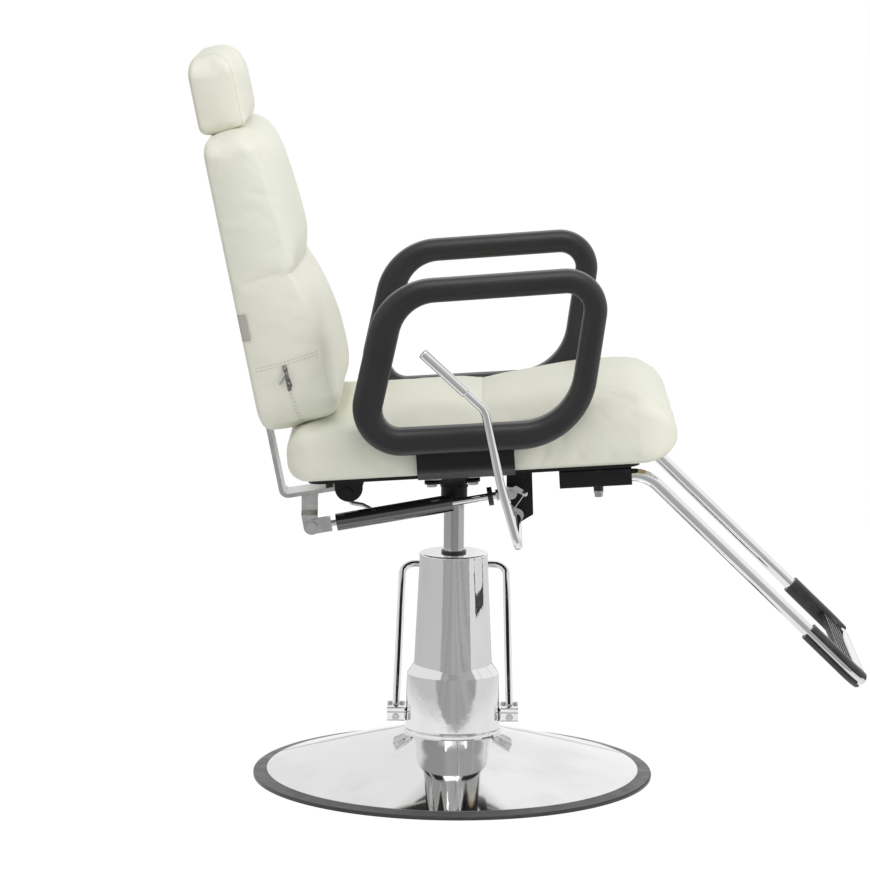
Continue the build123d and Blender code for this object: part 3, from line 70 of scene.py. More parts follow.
# Upholstery: the mesh, the cloth simulation, and how the seams are drawn in
pitch = 0.0068
seam_step = 0.0026
arc_steps, face_steps, tube_sides = 8, 24, 6
cloth_moments, cloth_pressure, cloth_reach, cloth_shrink = 20, 4.0, 2.2, -0.006
seam_sink = 0.0011
valley_width = 3.2                    # half a valley's width, in depths
valley_edge, valley_fade = 0.2, 0.07  # its share at the sides, and how far in it is whole
puff_fade = 0.05                      # a face is puffed in full this far from its cross seam
seam_low, lumbar_rise = 0.1015, 0.0245
step_low, step_run = 0.195, 0.014     # where the lower face gives way to the upper one
armrest_gap = 0.0008
side_band = 0.03                      # the band beside the back's sides that may be pinched
pinch_line, pinch_deep = ((0.116, 0.214), (0.074, 0.196), 0.008), 0.0024
swell_line, swell_high = ((0.110, 0.196), (0.076, 0.182), 0.014), 0.0008
joint_reach, joint_wave, joint_start, joint_length = 0.02, 0.0017, 0.003, 0.075

# Sewing and zip on the back's near side, as depths and rises in the back's frame
thread_r, stitch_length, stitch_gap = 0.00042, 0.0042, 0.0016
band_line = [(0.011, 0.0758), (0.0207, 0.0763), (0.0469, 0.0776), (0.0763, 0.0804),
             (0.0939, 0.082), (0.104, 0.0832)]
band_shift = 0.0022
zip_line = [(0.0529, 0.0745), (0.0534, 0.0392), (0.0566, 0.0124), (0.0611, -0.0125)]
zip_shift, zip_drop = 0.0016, 0.004
chain_end, tooth_pitch, tooth_high = 0.0380, 0.0016, 0.0013
tape_sides = (-0.0029, -0.0015, 0.0, 0.0015, 0.0029)
slider_rise = 0.0700
tab_half, tab_length = 0.0019, 0.0240
label_low, label_high, label_inset, label_reach = 0.119, 0.157, 0.0015, 0.0125
label_thick, label_rows, label_columns = 0.0005, 14, 8


# Shader maths
class Signal:
    "A number that varies over a surface. Arithmetic on it adds Math nodes."

    def __init__(self, graph, socket):
        self.graph, self.socket = graph, socket

    def maths(self, operation, *values):
        inputs = dict(enumerate(values))
        return self.graph.node("Math", {"operation": operation}, inputs)

    def __add__(self, other):
        return self.maths("ADD", self, other)

    def __sub__(self, other):
        return self.maths("SUBTRACT", self, other)

    def __rsub__(self, other):
        return self.maths("SUBTRACT", other, self)

    def __mul__(self, other):
        return self.maths("MULTIPLY", self, other)

    def __truediv__(self, other):
        return self.maths("DIVIDE", self, other)

    def __pow__(self, other):
        return self.maths("POWER", self, other)

    def __neg__(self):
        return self * -1.0

    def above(self, edge, width):
        "0 below an edge and 1 above it, over a width."
        return self.graph.node("Clamp", {}, {0: (self - edge) / width + 0.5})

    def between(self, low, high, width):
        return self.above(low, width) * (1.0 - self.above(high, width))

    def wave(self):
        "A sine of it, from 0 to 1."
        return self.maths("SINE", self) * 0.5 + 0.5

    __radd__, __rmul__ = __add__, __mul__


class Graph:
    "A cleared node tree, and the nodes that signals are made of."

    def __init__(self, owner, place):
        owner.use_nodes = True
        self.tree = owner.node_tree
        self.tree.nodes.clear()
        self.place = self.node("TexCoord", {}, {}, place)

    def node(self, kind, settings, inputs, output=0):
        "Adds a node: its settings come first, then its sockets' values or links."
        made = self.tree.nodes.new("ShaderNode" + kind)
        for key, value in settings.items():
            setattr(made, key, value)
        for key, value in inputs.items():
            if isinstance(value, Signal):
                self.tree.links.new(value.socket, made.inputs[key])
            else:
                made.inputs[key].default_value = value
        return Signal(self, made.outputs[output] if len(made.outputs) else None)

    def noise(self, scale, detail=2.0, rough=0.5, place=None):
        values = {"Vector": place or self.place, "Scale": scale, "Detail": detail,
                  "Roughness": rough}
        return self.node("TexNoise", {}, values, "Fac")

    def cells(self, scale, feature="F1"):
        values = {"Vector": self.place, "Scale": scale}
        return self.node("TexVoronoi", {"feature": feature}, values, "Distance")

    def stretched(self, *scales):
        "The surface's place, drawn out or packed along the three axes."
        return self.node("Mapping", {}, {"Vector": self.place, "Scale": scales})

    def axis(self, name):
        return self.node("SeparateXYZ", {}, {0: self.place}, name)

    def attribute(self, name):
        return self.node("Attribute", {"attribute_name": name}, {}, "Fac")

    def ray(self, *kinds):
        "1 for rays of the kinds named."
        total = 0.0
        for kind in kinds:
            total = self.node("LightPath", {}, {}, f"Is {kind} Ray") + total
        return total.above(0.5, 1.0)

    def blend(self, share, low, high):
        "Colour between two colours or signals."
        return self.node("Mix", {"data_type": "RGBA"}, {0: share, 6: low, 7: high}, 2)

    def bump(self, height, distance, under=None):
        values = {"Height": height, "Distance": distance, "Strength": 1.0}
        if under:
            values["Normal"] = under
        return self.node("Bump", {}, values)


class Finish(Graph):
    "A material: one Principled shader, and the signals that feed it."

    def __init__(self, name, colour, **constants):
        self.material = bpy.data.materials.new(name)
        super().__init__(self.material, "Object")
        self.shader = self.tree.nodes.new("ShaderNodeBsdfPrincipled")
        self.node("OutputMaterial", {}, {0: Signal(self, self.shader.outputs[0])})
        self.material.diffuse_color = colour
        for key, value in {"base_color": colour, **constants}.items():
            self.input(key).default_value = value

    def input(self, key):
        name = key.replace("_", " ").lower()
        return next(socket for socket in self.shader.inputs if socket.name.lower() == name)

    def feed(self, **signals):
        for key, value in signals.items():
            self.tree.links.new(value.socket, self.input(key))
        return self.material


def tone(red, green, blue):
    "Linear colour from the 0 to 255 values of a screen colour."
    linear = [((value / 255 + 0.055) / 1.055) ** 2.4 if value > 10 else value / 255 / 12.92
              for value in (red, green, blue)]
    return (*linear, 1.0)


def grey(value):
    return (value, value, value, 1.0)


# Finishes
def coated_cover():
    """Ivory coated upholstery fabric with a fine pebbled grain, and painted shade along its seams.
    """
    ivory, warm, shade = tone(225, 227, 212), tone(228, 227, 213), tone(176, 176, 158)
    cover = Finish("ivory_coated_cover", ivory, roughness=0.46, specular_ior_level=0.35)
    drift = cover.noise(5.5, 2.0).above(0.5, 0.3)
    crease = cover.attribute("crease")
    base = cover.blend(drift, ivory, warm)
    # Painted shade: the crease weight darkens the cover to a greyer ivory along its seams, where
    # the grooves lie in shade.
    base = cover.blend((crease ** 1.5) * 0.6, base, shade)
    grain = cover.cells(820, "SMOOTH_F1") * 0.7 + cover.noise(1500, 3.0) * 0.5
    slack = cover.noise(34, 3.0, 0.55)
    rough = 0.43 + cover.noise(60, 2.0) * 0.1 + crease * 0.12
    return cover.feed(base_color=base, roughness=rough,
                      normal=cover.bump(grain, 0.00016, cover.bump(slack, 0.0010)))


def armrest_skin():
    "Moulded self-skinned foam: satin black with a leather grain."
    skin = Finish("moulded_armrest_skin", tone(40, 40, 42), roughness=0.46,
                  specular_ior_level=0.42)
    grain = skin.cells(900, "SMOOTH_F1") + skin.noise(1700, 2.0) * 0.5
    handled = skin.noise(14, 3.0)
    base = skin.blend(handled, tone(32, 32, 34), tone(44, 44, 46))
    return skin.feed(base_color=base, roughness=0.30 + handled * 0.16,
                     normal=skin.bump(grain, 0.00012, skin.bump(skin.noise(40), 0.0004)))


def black_paint():
    """Powder coat on steel, a little rubbed in patches."""
    paint = Finish("black_powder_coat", tone(24, 24, 25), roughness=0.4, specular_ior_level=0.3)
    rub = paint.noise(55, 4.0, 0.6).above(0.7, 0.1)
    base = paint.blend(rub, tone(22, 22, 23), tone(44, 44, 45))
    return paint.feed(base_color=base, roughness=0.36 + paint.noise(90, 3.0) * 0.16,
                      normal=paint.bump(paint.noise(420, 2.0), 0.0002))


def gloss_black():
    "Lacquered black tube."
    gloss = Finish("black_gloss_lacquer", tone(26, 26, 27), roughness=0.16, coat_weight=1.0,
                   coat_roughness=0.05, coat_ior=1.8, specular_ior_level=1.0)
    swirl = gloss.noise(24, 3.0)
    return gloss.feed(base_color=gloss.blend(swirl, tone(24, 24, 25), tone(36, 36, 38)),
                      roughness=0.12 + swirl * 0.12, normal=gloss.bump(gloss.noise(160), 0.00008))


def mirror_chrome():
    "Polished chrome plate with faint wiping marks."
    plate = Finish("polished_chrome", (0.80, 0.80, 0.80, 1.0), roughness=0.05, metallic=1.0)
    wiped = plate.noise(9, 4.0, 0.6, plate.stretched(1.0, 1.0, 0.35)).above(0.58, 0.25)
    specks = plate.cells(260).above(0.06, 0.04)
    rough = 0.035 + wiped * 0.05 + (1.0 - specks) * 0.06
    base = plate.blend(wiped, grey(0.83), grey(0.74))
    return plate.feed(base_color=base, roughness=rough,
                      normal=plate.bump(plate.noise(5.0, 1.0), 0.0006))


def ground_ram():
    "Ground steel ram under a film of oil."
    steel = Finish("oiled_ground_ram", grey(0.52), roughness=0.1, metallic=1.0)
    film = steel.noise(24, 3.0, 0.6, steel.stretched(1.0, 1.0, 0.2)).above(0.5, 0.4)
    rings = steel.noise(900, 2.0, 0.5, steel.stretched(0.05, 0.05, 1.0))
    return steel.feed(base_color=steel.blend(film, grey(0.56), grey(0.44)),
                      roughness=0.07 + film * 0.08, normal=steel.bump(rings, 0.00003))


def zinc_plate():
    "Zinc-plated steel: cloudy, slightly blue and yellow, with marks from rolling."
    plate = Finish("zinc_plated_steel", tone(215, 215, 213), roughness=0.3, metallic=1.0)
    cloud = plate.noise(70, 4.0, 0.62)
    base = plate.blend(cloud.above(0.5, 0.35), tone(204, 206, 208), tone(230, 229, 224))
    marks = plate.noise(240, 3.0, 0.6, plate.stretched(1.0, 6.0, 1.0))
    return plate.feed(base_color=base, roughness=0.2 + cloud * 0.2,
                      normal=plate.bump(marks, 0.00012))


def pump_casting():
    "Painted iron casting of the pump."
    cast = Finish("painted_casting", tone(58, 60, 62), roughness=0.55)
    oil = cast.noise(18, 3.0).above(0.55, 0.2)
    base = cast.blend(oil, tone(66, 68, 70), tone(38, 38, 38))
    return cast.feed(base_color=base, roughness=0.6 - oil * 0.25,
                     normal=cast.bump(cast.noise(320, 3.0, 0.6), 0.0007))


def dark_rubber():
    "Dark grey rubber with a dusty bloom, shining at a low angle."
    rubber = Finish("dark_rubber", tone(46, 46, 47), roughness=0.34, specular_ior_level=0.5)
    bloom = rubber.noise(38, 4.0, 0.6).above(0.55, 0.35)
    base = rubber.blend(bloom, tone(38, 38, 39), tone(56, 56, 56))
    return rubber.feed(base_color=base, roughness=0.28 + bloom * 0.16,
                       normal=rubber.bump(rubber.noise(700, 3.0), 0.00025))


def plywood_board():
    "Birch plywood: drawn-out grain and thin layers."
    wood = Finish("birch_plywood", tone(206, 178, 132), roughness=0.6)
    grain = wood.noise(60, 5.0, 0.6, wood.stretched(1.0, 0.08, 1.0))
    layers = (wood.axis("Z") * 2200.0).wave().above(0.5, 0.8)
    base = wood.blend(grain.above(0.5, 0.4), tone(214, 188, 142), tone(178, 144, 98))
    base = wood.blend(layers * 0.35, base, tone(140, 108, 72))
    return wood.feed(base_color=base, roughness=0.5 + grain * 0.2, normal=wood.bump(grain, 0.0003))


def satin_plastic():
    "Moulded black plastic."
    plastic = Finish("moulded_black_plastic", tone(26, 26, 28), roughness=0.42,
                     specular_ior_level=0.3)
    spark = plastic.noise(900, 2.0)
    base = plastic.blend(plastic.noise(20, 3.0), tone(22, 22, 24), tone(36, 36, 38))
    return plastic.feed(base_color=base, roughness=0.34 + spark * 0.16,
                        normal=plastic.bump(spark, 0.00012))


def screw_metal():
    "Lock screw: a black knurled head over a bright nut."
    screw = Finish("two_tone_screw", tone(60, 60, 60), roughness=0.35)
    nut_top = 0.457
    bright = 1.0 - screw.axis("Z").above(nut_top, 0.001)
    knurl = screw.noise(900, 1.0, 0.5, screw.stretched(1.0, 1.0, 0.05))
    return screw.feed(base_color=screw.blend(bright, tone(26, 26, 27), tone(190, 190, 188)),
                      metallic=bright, roughness=0.3 + knurl * 0.1,
                      normal=screw.bump(knurl, 0.0003))


def weave(name, low, high):
    "Woven zip tape and the blank label: fine crossed ribs."
    tape = Finish(name, high, roughness=0.85)
    across, along = (tape.axis("Z") * 5200.0).wave(), (tape.axis("X") * 5200.0).wave()
    base = tape.blend(across * along, low, high)
    return tape.feed(base_color=base, roughness=0.8 + tape.noise(200) * 0.1,
                     normal=tape.bump(across + along, 0.0001))


def sewing_thread():
    "Twisted thread, a shade darker than the cover."
    thread = Finish("twisted_thread", tone(186, 186, 170), roughness=0.7)
    twist = (thread.axis("X") * 9000.0 + thread.axis("Z") * 9000.0).wave()
    return thread.feed(base_color=thread.blend(twist, tone(168, 168, 150), tone(206, 206, 190)),
                       roughness=0.65 + twist * 0.1, normal=thread.bump(twist, 0.00005))


def gun_metal():
    "Dark plated zip slider and teeth."
    metal = Finish("dark_plated_zip", tone(128, 126, 122), roughness=0.32, metallic=1.0)
    worn = metal.noise(400, 3.0).above(0.55, 0.2)
    base = metal.blend(worn, tone(118, 116, 112), tone(206, 204, 198))
    return metal.feed(base_color=base, roughness=0.28 + worn * 0.15,
                      normal=metal.bump(metal.noise(1200), 0.00008))


slot_finish = {
    "seat_cover": coated_cover(), "armrest_foam": armrest_skin(), "black_steel": black_paint(),
    "chrome": mirror_chrome(), "zinc_steel": zinc_plate(), "cast_pump": pump_casting(),
    "rubber": dark_rubber(), "plywood": plywood_board(), "black_plastic": satin_plastic()}
own_finish = {
    "strut_tube": gloss_black(), "socket_lock_screws": screw_metal(), "ram": ground_ram(),
    "pedal_clamps": slot_finish["chrome"]}
zip_weave = weave("woven_zip_tape", tone(140, 139, 129), tone(176, 175, 164))
label_weave = weave("woven_label", tone(178, 177, 168), tone(206, 205, 197))
zip_metal, thread_finish = gun_metal(), sewing_thread()
for row in frame["record"]["subparts"]:
    node = frame["nodes"].get(row.get("node"))
    if node:
        node.data.materials.clear()
        node.data.materials.append(own_finish.get(row["node"], slot_finish[row["material_slot"]]))


# Frames of the seat and the back
def tilted(place, tilt):
    "A frame at a place in the chair's middle plane, leaned back."
    return Matrix.Translation((place[0], 0, place[1])) @ Matrix.Rotation(-tilt, 4, "Y")


SEAT, BACK = tilted(seat_place, seat_tilt), tilted(back_place, back_tilt)


def finished(name, bm, finish, body="back_frame", smooth=True):
    """Makes an object of a mesh under construction, with its finish and body."""
    bmesh.ops.recalc_face_normals(bm, faces=bm.faces)
    mesh = bpy.data.meshes.new(name)
    bm.to_mesh(mesh)
    bm.free()
    mesh.materials.append(finish)
    mesh.polygons.foreach_set("use_smooth", [smooth] * len(mesh.polygons))
    obj = bpy.data.objects.new(name, mesh)
    scene.collection.objects.link(obj)
    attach(obj, body)
    return obj


# Stuffed panels
def spaced(low, high, marks=()):
    "Places from low to high about a pitch apart, with close ones beside the ends and marks."
    stops = [low, *marks, high]
    places = []
    for start, end in zip(stops, stops[1:]):
        inner_low, inner_high = start + seam_step, end - seam_step
        steps = max(2, ceil((inner_high - inner_low) / pitch))
        places.append(start)
        places += [inner_low + (inner_high - inner_low) * step / steps
                   for step in range(steps + 1)]
    return places + [high]


def walk(points, shares):
    "Points at shares of a line's length."
    points = np.array(points, float)
    lengths = np.concatenate([[0], np.cumsum(np.linalg.norm(np.diff(points, axis=0), axis=1))])
    at = np.array(shares) * lengths[-1]
    return np.stack([np.interp(at, lengths, points[:, axis]) for axis in (0, 1)], 1)


def arc(centre, radius, start, end):
    turns = [radians(start + (end - start) * step / arc_steps) for step in range(arc_steps + 1)]
    return [(centre[0] + radius * cos(turn), centre[1] + radius * sin(turn)) for turn in turns]


class Panel:
    "A stuffed cushion laid out as a box of quads whose edges are its sewn seams."

    def __init__(self, length, half, rounds, corner, foot, plan, under, thick, crown, lay,
                 seams, puff, end_turns=(45, 45), cross=None, valley=0.0):
        self.length, self.half, self.rounds = length, half, rounds
        self.corner, self.foot, self.plan, self.under = corner, foot, plan, under
        self.thick, self.crown, self.lay = thick, crown, lay
        self.end_turns, self.seams = end_turns, seams
        self.cross, self.valley, self.puff = cross, valley, puff
        self.build()

    def stations(self):
        "A row for each ring: its place, its inset, and whether an end's seam lies on it."
        rows = []
        for radius, edge_turn in zip(self.rounds, self.end_turns):
            near = seam_step / radius
            edge = radians(90 - edge_turn)
            turns = [0, edge - near, edge, edge + near]
            count = 9 if radius > 0.02 else 5
            turns += [turn for turn in (pi / 2 * step / count for step in range(1, count))
                      if min(abs(turn - other) for other in turns) > near / 1.5]
            rows.append([(radius * (1 - cos(turn)), radius * (1 - sin(turn)), turn == edge)
                         for turn in sorted(turns)])
        low, high = self.rounds
        marks = (self.cross,) if self.cross else ()
        inner = [(place, 0.0, False) for place in spaced(low, self.length - high, marks)]
        near_cross = [abs(place - (self.cross or 0)) for place, _, _ in inner]
        self.cross_row = len(rows[0]) + near_cross.index(min(near_cross)) if self.cross else -1
        rows = rows[0] + inner + [(self.length - place, inset, edge)
                                  for place, inset, edge in reversed(rows[1])]
        self.edge_rows = [at for at, row in enumerate(rows) if row[2]]
        return rows

    def ring(self, place, inset):
        "Rear-right seam round the front to the rear-left one and back, as four point lists."
        under = self.under[0] if place < self.length / 2 else self.under[1]
        rear, side = inset * under, self.half - inset * self.plan
        shoulder = self.thick(place) - inset - self.crown(place)
        corner = min(self.corner, (shoulder - rear) / 2)
        foot = min(self.foot, (shoulder - rear) / 3)
        dip = 0.0
        if self.cross:
            away = abs(place - self.cross)
            dip = self.valley * max(0.0, 1 - away / (valley_width * self.valley)) ** 2
        flank = arc((rear + foot, foot - side), foot, 225, 270)
        flank += arc((shoulder - corner, corner - side), corner, 270, 315)
        face = arc((shoulder - corner, corner - side), corner, 315, 360)
        flat = side - corner
        for step in range(1, face_steps):
            across = -flat + 2 * flat * step / face_steps
            face.append((shoulder + self.crown(place) * (1 - (across / flat) ** 2), across))
        face += arc((shoulder - corner, side - corner), corner, 0, 45)
        face = [(depth - dip * min(1, valley_edge + (side - abs(across)) / valley_fade), across)
                for depth, across in face]
        sole = [(flank[0][0], -flank[0][1]), (rear, side - foot), (rear, foot - side), flank[0]]
        right, front = walk(flank, self.side_shares), walk(face, self.face_shares)
        left = right[::-1] * [1, -1]
        return right[:-1], front[:-1], left[:-1], walk(sole, self.face_shares)[:-1]

    def build(self):
        "Lays the rings out, drawn in where the blowing up will push them out, and joins them."
        middle_thick = self.thick(self.length / 2)
        self.side_shares = np.array(spaced(0.0, middle_thick)) / middle_thick
        self.face_shares = np.array(spaced(0.0, 2 * self.half)) / (2 * self.half)
        rows = self.stations()
        tall, wide = len(self.side_shares) - 1, len(self.face_shares) - 1
        count = 2 * (tall + wide)
        low, high = self.edge_rows
        sewn_edge, sewn_end, sewn_cross = self.seams
        verts, seam, held = [], [], []
        for at, (place, inset, _) in enumerate(rows):
            along = min(max((at - low) / (high - low), 0), 1)
            span = sin(pi * along) ** 0.5 if 0 < along < 1 else 0.0
            near = min(1, abs(place - self.cross) / puff_fade) ** 0.5 if self.cross else 1.0
            for part, points in enumerate(self.ring(place, inset)):
                for spot, (depth, across) in enumerate(points):
                    bow = sin(pi * spot / len(points)) ** 0.7 if spot else 0.0
                    if part in (0, 2):
                        across -= (1 if across > 0 else -1) * self.puff[0] * bow * span
                    if part == 1:
                        depth -= self.puff[1] * bow * span * near
                    verts.append(self.lay(place, depth, across))
                    corner = spot == 0 and low <= at <= high
                    end = at in (low, high) and (part in (0, 2) or spot == 0)
                    cross = at == self.cross_row and part == 1
                    # A seam's weight sinks the cover there, and through the cover's finish it also
                    # paints shade along the seam.
                    seam.append(max(sewn_edge * corner, sewn_end * end, sewn_cross * cross))
                    held.append(float(part == 3 or corner or end or cross))
        faces = [(at * count + spot, at * count + (spot + 1) % count,
                  (at + 1) * count + (spot + 1) % count, (at + 1) * count + spot)
                 for at in range(len(rows) - 1) for spot in range(count)]
        for at in (0, len(rows) - 1):
            faces += self.cap(verts, at * count, tall, wide)
        loose = [0.0] * (len(verts) - len(seam))
        self.verts, self.faces = verts, faces
        self.seam, self.held = np.array(seam + loose), np.array(held + loose)

    def cap(self, verts, first, tall, wide):
        "Closes an end with a grid between the ring's four sides."
        count = 2 * (tall + wide)
        index = {}
        for up in range(tall + 1):
            index[up, 0] = first + up
            index[up, wide] = first + tall + wide + (tall - up)
        for over in range(wide + 1):
            index[tall, over] = first + tall + over
            index[0, over] = first + (count - over) % count
        spot = {key: Vector(verts[value]) for key, value in index.items()}
        for up in range(1, tall):
            for over in range(1, wide):
                u, v = self.side_shares[up], self.face_shares[over]
                point = (spot[up, 0] * (1 - v) + spot[up, wide] * v
                         + spot[0, over] * (1 - u) + spot[tall, over] * u
                         - spot[0, 0] * (1 - u) * (1 - v) - spot[tall, 0] * u * (1 - v)
                         - spot[tall, wide] * u * v - spot[0, wide] * (1 - u) * v)
                index[up, over] = len(verts)
                verts.append(point)
        return [(index[up, over], index[up, over + 1],
                 index[up + 1, over + 1], index[up + 1, over])
                for up in range(tall) for over in range(wide)]


def puffed(obj, held, cap):
    "Blows a sewn cover up with cloth simulation, holds its seams, and caps how far it moves."
    group = obj.vertex_groups.new(name="held")
    group.add([int(index) for index in np.nonzero(held)[0]], 1.0, "REPLACE")
    cloth = obj.modifiers.new("cloth", "CLOTH")
    settings = cloth.settings
    settings.quality, settings.mass = 6, 0.25
    settings.tension_stiffness = settings.compression_stiffness = 12
    settings.shear_stiffness, settings.bending_stiffness = 6, 0.6
    settings.use_pressure, settings.uniform_pressure_force = True, cloth_pressure
    settings.vertex_group_mass, settings.shrink_min = "held", cloth_shrink
    settings.effector_weights.gravity = 0
    cloth.collision_settings.use_collision = False
    rest = np.array([vert.co for vert in obj.data.vertices])
    for moment in range(1, cloth_moments + 1):
        scene.frame_set(moment)
    evaluated = obj.evaluated_get(bpy.context.evaluated_depsgraph_get())
    move = np.array([vert.co for vert in evaluated.data.vertices]) - rest
    far = np.maximum(np.linalg.norm(move, axis=1, keepdims=True), 1e-9)
    obj.modifiers.remove(cloth)
    obj.vertex_groups.remove(group)
    scene.frame_set(1)
    obj.data.vertices.foreach_set("co", (rest + move / far * cap * np.tanh(far / cap)).ravel())
    obj.data.update()


def smoothed(obj):
    "Puts one subdivision on the mesh for good."
    subdivision = obj.modifiers.new("subdivision", "SUBSURF")
    subdivision.levels = subdivision.render_levels = 1
    evaluated = obj.evaluated_get(bpy.context.evaluated_depsgraph_get())
    mesh = bpy.data.meshes.new_from_object(evaluated)
    obj.modifiers.clear()
    obj.data = mesh


def upholstered(name, panel, body, shaped):
    "A cushion from its panel: blown up, its seams pulled in, shaped, then smoothed."
    bm = bmesh.new()
    verts = [bm.verts.new(vert) for vert in panel.verts]
    for face in panel.faces:
        bm.faces.new([verts[index] for index in face])
    obj = finished(name, bm, slot_finish["seat_cover"], body)
    puffed(obj, panel.held, cloth_reach * max(panel.puff))
    mesh = obj.data
    normals = np.array([vert.normal for vert in mesh.vertices])
    spots = np.array([vert.co for vert in mesh.vertices])
    spots = spots - normals * (panel.seam * seam_sink)[:, None]
    spots = [shaped(Vector(spot), Vector(normal)) for spot, normal in zip(spots, normals)]
    mesh.vertices.foreach_set("co", np.array(spots).ravel())
    # The seam weights are kept for the cover's finish, which uses them to paint shade along the
    # seams.
    crease = mesh.attributes.new("crease", "FLOAT", "POINT")
    crease.data.foreach_set("value", panel.seam)
    smoothed(obj)
    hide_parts(name.replace("_cover", "_cushion"))
    return obj


def off_hinge(spot):
    "Distance from the recline pin's axis, and the way out from it."
    out = Vector((spot.x - hinge[0], 0, spot.z - hinge[1]))
    return out.length, out.normalized()


def seat_shaped(spot, normal):
    "Keeps the seat cushion inside the back's swing and off the armrests."
    reach, out = off_hinge(spot)
    if spot.x < hinge[0] and spot.z > hinge[1] and reach > swing_r:
        spot = spot - out * (reach - swing_r)
    spot.y = min(max(spot.y, -cushion_half - armrest_gap), cushion_half + armrest_gap)
    return spot


def fold(spot, start, end, width):
    "How near a place is to a fold line, from 0 to 1 on it; lines are in the back's frame."
    local = BACK.inverted() @ spot
    line, reach = Vector(end) - Vector(start), Vector((local.x, local.z)) - Vector(start)
    along = min(max(line.dot(reach) / line.length_squared, 0), 1)
    away = (reach - line * along).length
    return max(0.0, 1 - away / width) ** 2 * (1 - along) ** 0.6


def back_shaped(spot, normal):
    "Pinches the sides where the cross seam ends, and keeps off the seat's swing."
    if abs(spot.y) > back_half - side_band:
        pinch, swell = fold(spot, *pinch_line), fold(spot, *swell_line)
        spot = spot - normal * (pinch_deep * pinch - swell_high * swell)
    reach, out = off_hinge(spot)
    if reach < swing_r + swing_gap:
        spot = spot + out * (swing_r + swing_gap - reach)
    return settled(spot, False)


def settled(spot, above):
    "Where the headrest settles on the back, the joint line waves a little."
    local = BACK.inverted() @ spot
    away = abs(local.z - back_height - head_gap / 2) / joint_reach
    if away < 1:
        wave = -joint_wave * sin(2 * pi * (local.x - joint_start) / joint_length)
        wave = wave * (1 - away) ** 1.5
        local.z += wave
        if above:
            local.z = max(local.z, back_height + head_gap + wave)
    return BACK @ local


def head_shaped(spot, normal):
    return settled(spot, True)


seat_panel = Panel(
    cushion_front - cushion_rear, cushion_half, (0.030, 0.053), 0.026, 0.018, 1.0, (0.7, 0.6),
    lambda place: (cushion_thick + front_roll
                   * sin(pi / 2 * min(max(place - cushion_seam, 0) / roll_run, 1)) ** 2),
    lambda place: cushion_crown,
    lambda place, depth, across: SEAT @ Vector((cushion_rear + place, across, pan_thick + depth)),
    seams=(0.22, 0.0, 0.7), cross=cushion_seam, valley=0.0055, puff=(0.0024, 0.0045))


def back_thick(place):
    "Thickest at the lumbar bulge, with a step out over the cross seam and a taper to the top."
    rise = place - back_sag
    low = seam_low + lumbar_rise * cos(pi / 2 * min(max(rise - lumbar_place, 0) / lumbar_run, 1))
    taper = (max(rise - back_seam, 0) / (back_height - back_seam)) ** 1.5
    high = back_face + upper_swell - upper_taper * taper
    return low + (high - low) * min(max((rise - step_low) / step_run, 0), 1)


back_panel = Panel(
    back_height + back_sag, back_half, (0.038, 0.027), 0.024, 0.012, 1.5, (0.3, 0.4), back_thick,
    lambda place: back_crown * sin(pi / 2 * min(max(place / crown_run, 0.2), 1)),
    lambda place, depth, across: BACK @ Vector((depth, across, place - back_sag)),
    seams=(0.25, 0.0, 0.45), cross=back_sag + back_seam, valley=0.0045, puff=(0.003, 0.0045))
head_panel = Panel(
    head_height, head_half, (0.012, 0.030), 0.018, 0.008, 1.3, (0.8, 0.6),
    lambda place: head_thick, lambda place: head_crown,
    lambda place, depth, across: BACK @ Vector((head_rear + depth, across,
                                                back_height + head_gap + place)),
    end_turns=(60, 74), seams=(0.8, 0.8, 0.0), puff=(0.0022, 0.003))

upholstered("seat_cover", seat_panel, "seat_frame", seat_shaped)
back_cover = upholstered("back_cover", back_panel, "back_frame", back_shaped)
upholstered("headrest_cover", head_panel, "headrest", head_shaped)


# Stitches, zip and label on the near side of the back
skin = BVHTree.FromObject(back_cover, bpy.context.evaluated_depsgraph_get())


def on_side(depth, rise, lift):
    "A place on the back's near side, a little off its cover."
    start = BACK @ Vector((depth, -back_half - 0.05, rise))
    spot, normal, _, _ = skin.ray_cast(start, Vector((0, 1, 0)))
    if spot is None:
        spot, normal, _, _ = skin.find_nearest(start + Vector((0, 0.05, 0)))
    return spot + normal * lift, normal


def along_side(stops, step):
    "Places a step apart along a line on the side, in the back's depth and rise."
    lengths = [0.0]
    for start, end in zip(stops, stops[1:]):
        lengths.append(lengths[-1] + sqrt((end[0] - start[0]) ** 2 + (end[1] - start[1]) ** 2))
    count = max(2, round(lengths[-1] / step))
    at = np.linspace(0, lengths[-1], count + 1)
    return list(zip(np.interp(at, lengths, [stop[0] for stop in stops]),
                    np.interp(at, lengths, [stop[1] for stop in stops])))


def tube(bm, spots, radii):
    "A tube through places, each with its own radius, closed at both ends."
    rings, sides = [], tube_sides
    for index, (spot, radius) in enumerate(zip(spots, radii)):
        ahead = (spots[min(index + 1, len(spots) - 1)] - spots[max(index - 1, 0)]).normalized()
        out = ahead.orthogonal().normalized()
        across = ahead.cross(out)
        rings.append([bm.verts.new(spot + (out * cos(2 * pi * side / sides)
                                           + across * sin(2 * pi * side / sides)) * radius)
                      for side in range(sides)])
    for low, high in zip(rings, rings[1:]):
        for side in range(sides):
            after = (side + 1) % sides
            bm.faces.new((low[side], low[after], high[after], high[side]))
    bm.faces.new(rings[0][::-1])
    bm.faces.new(rings[-1])


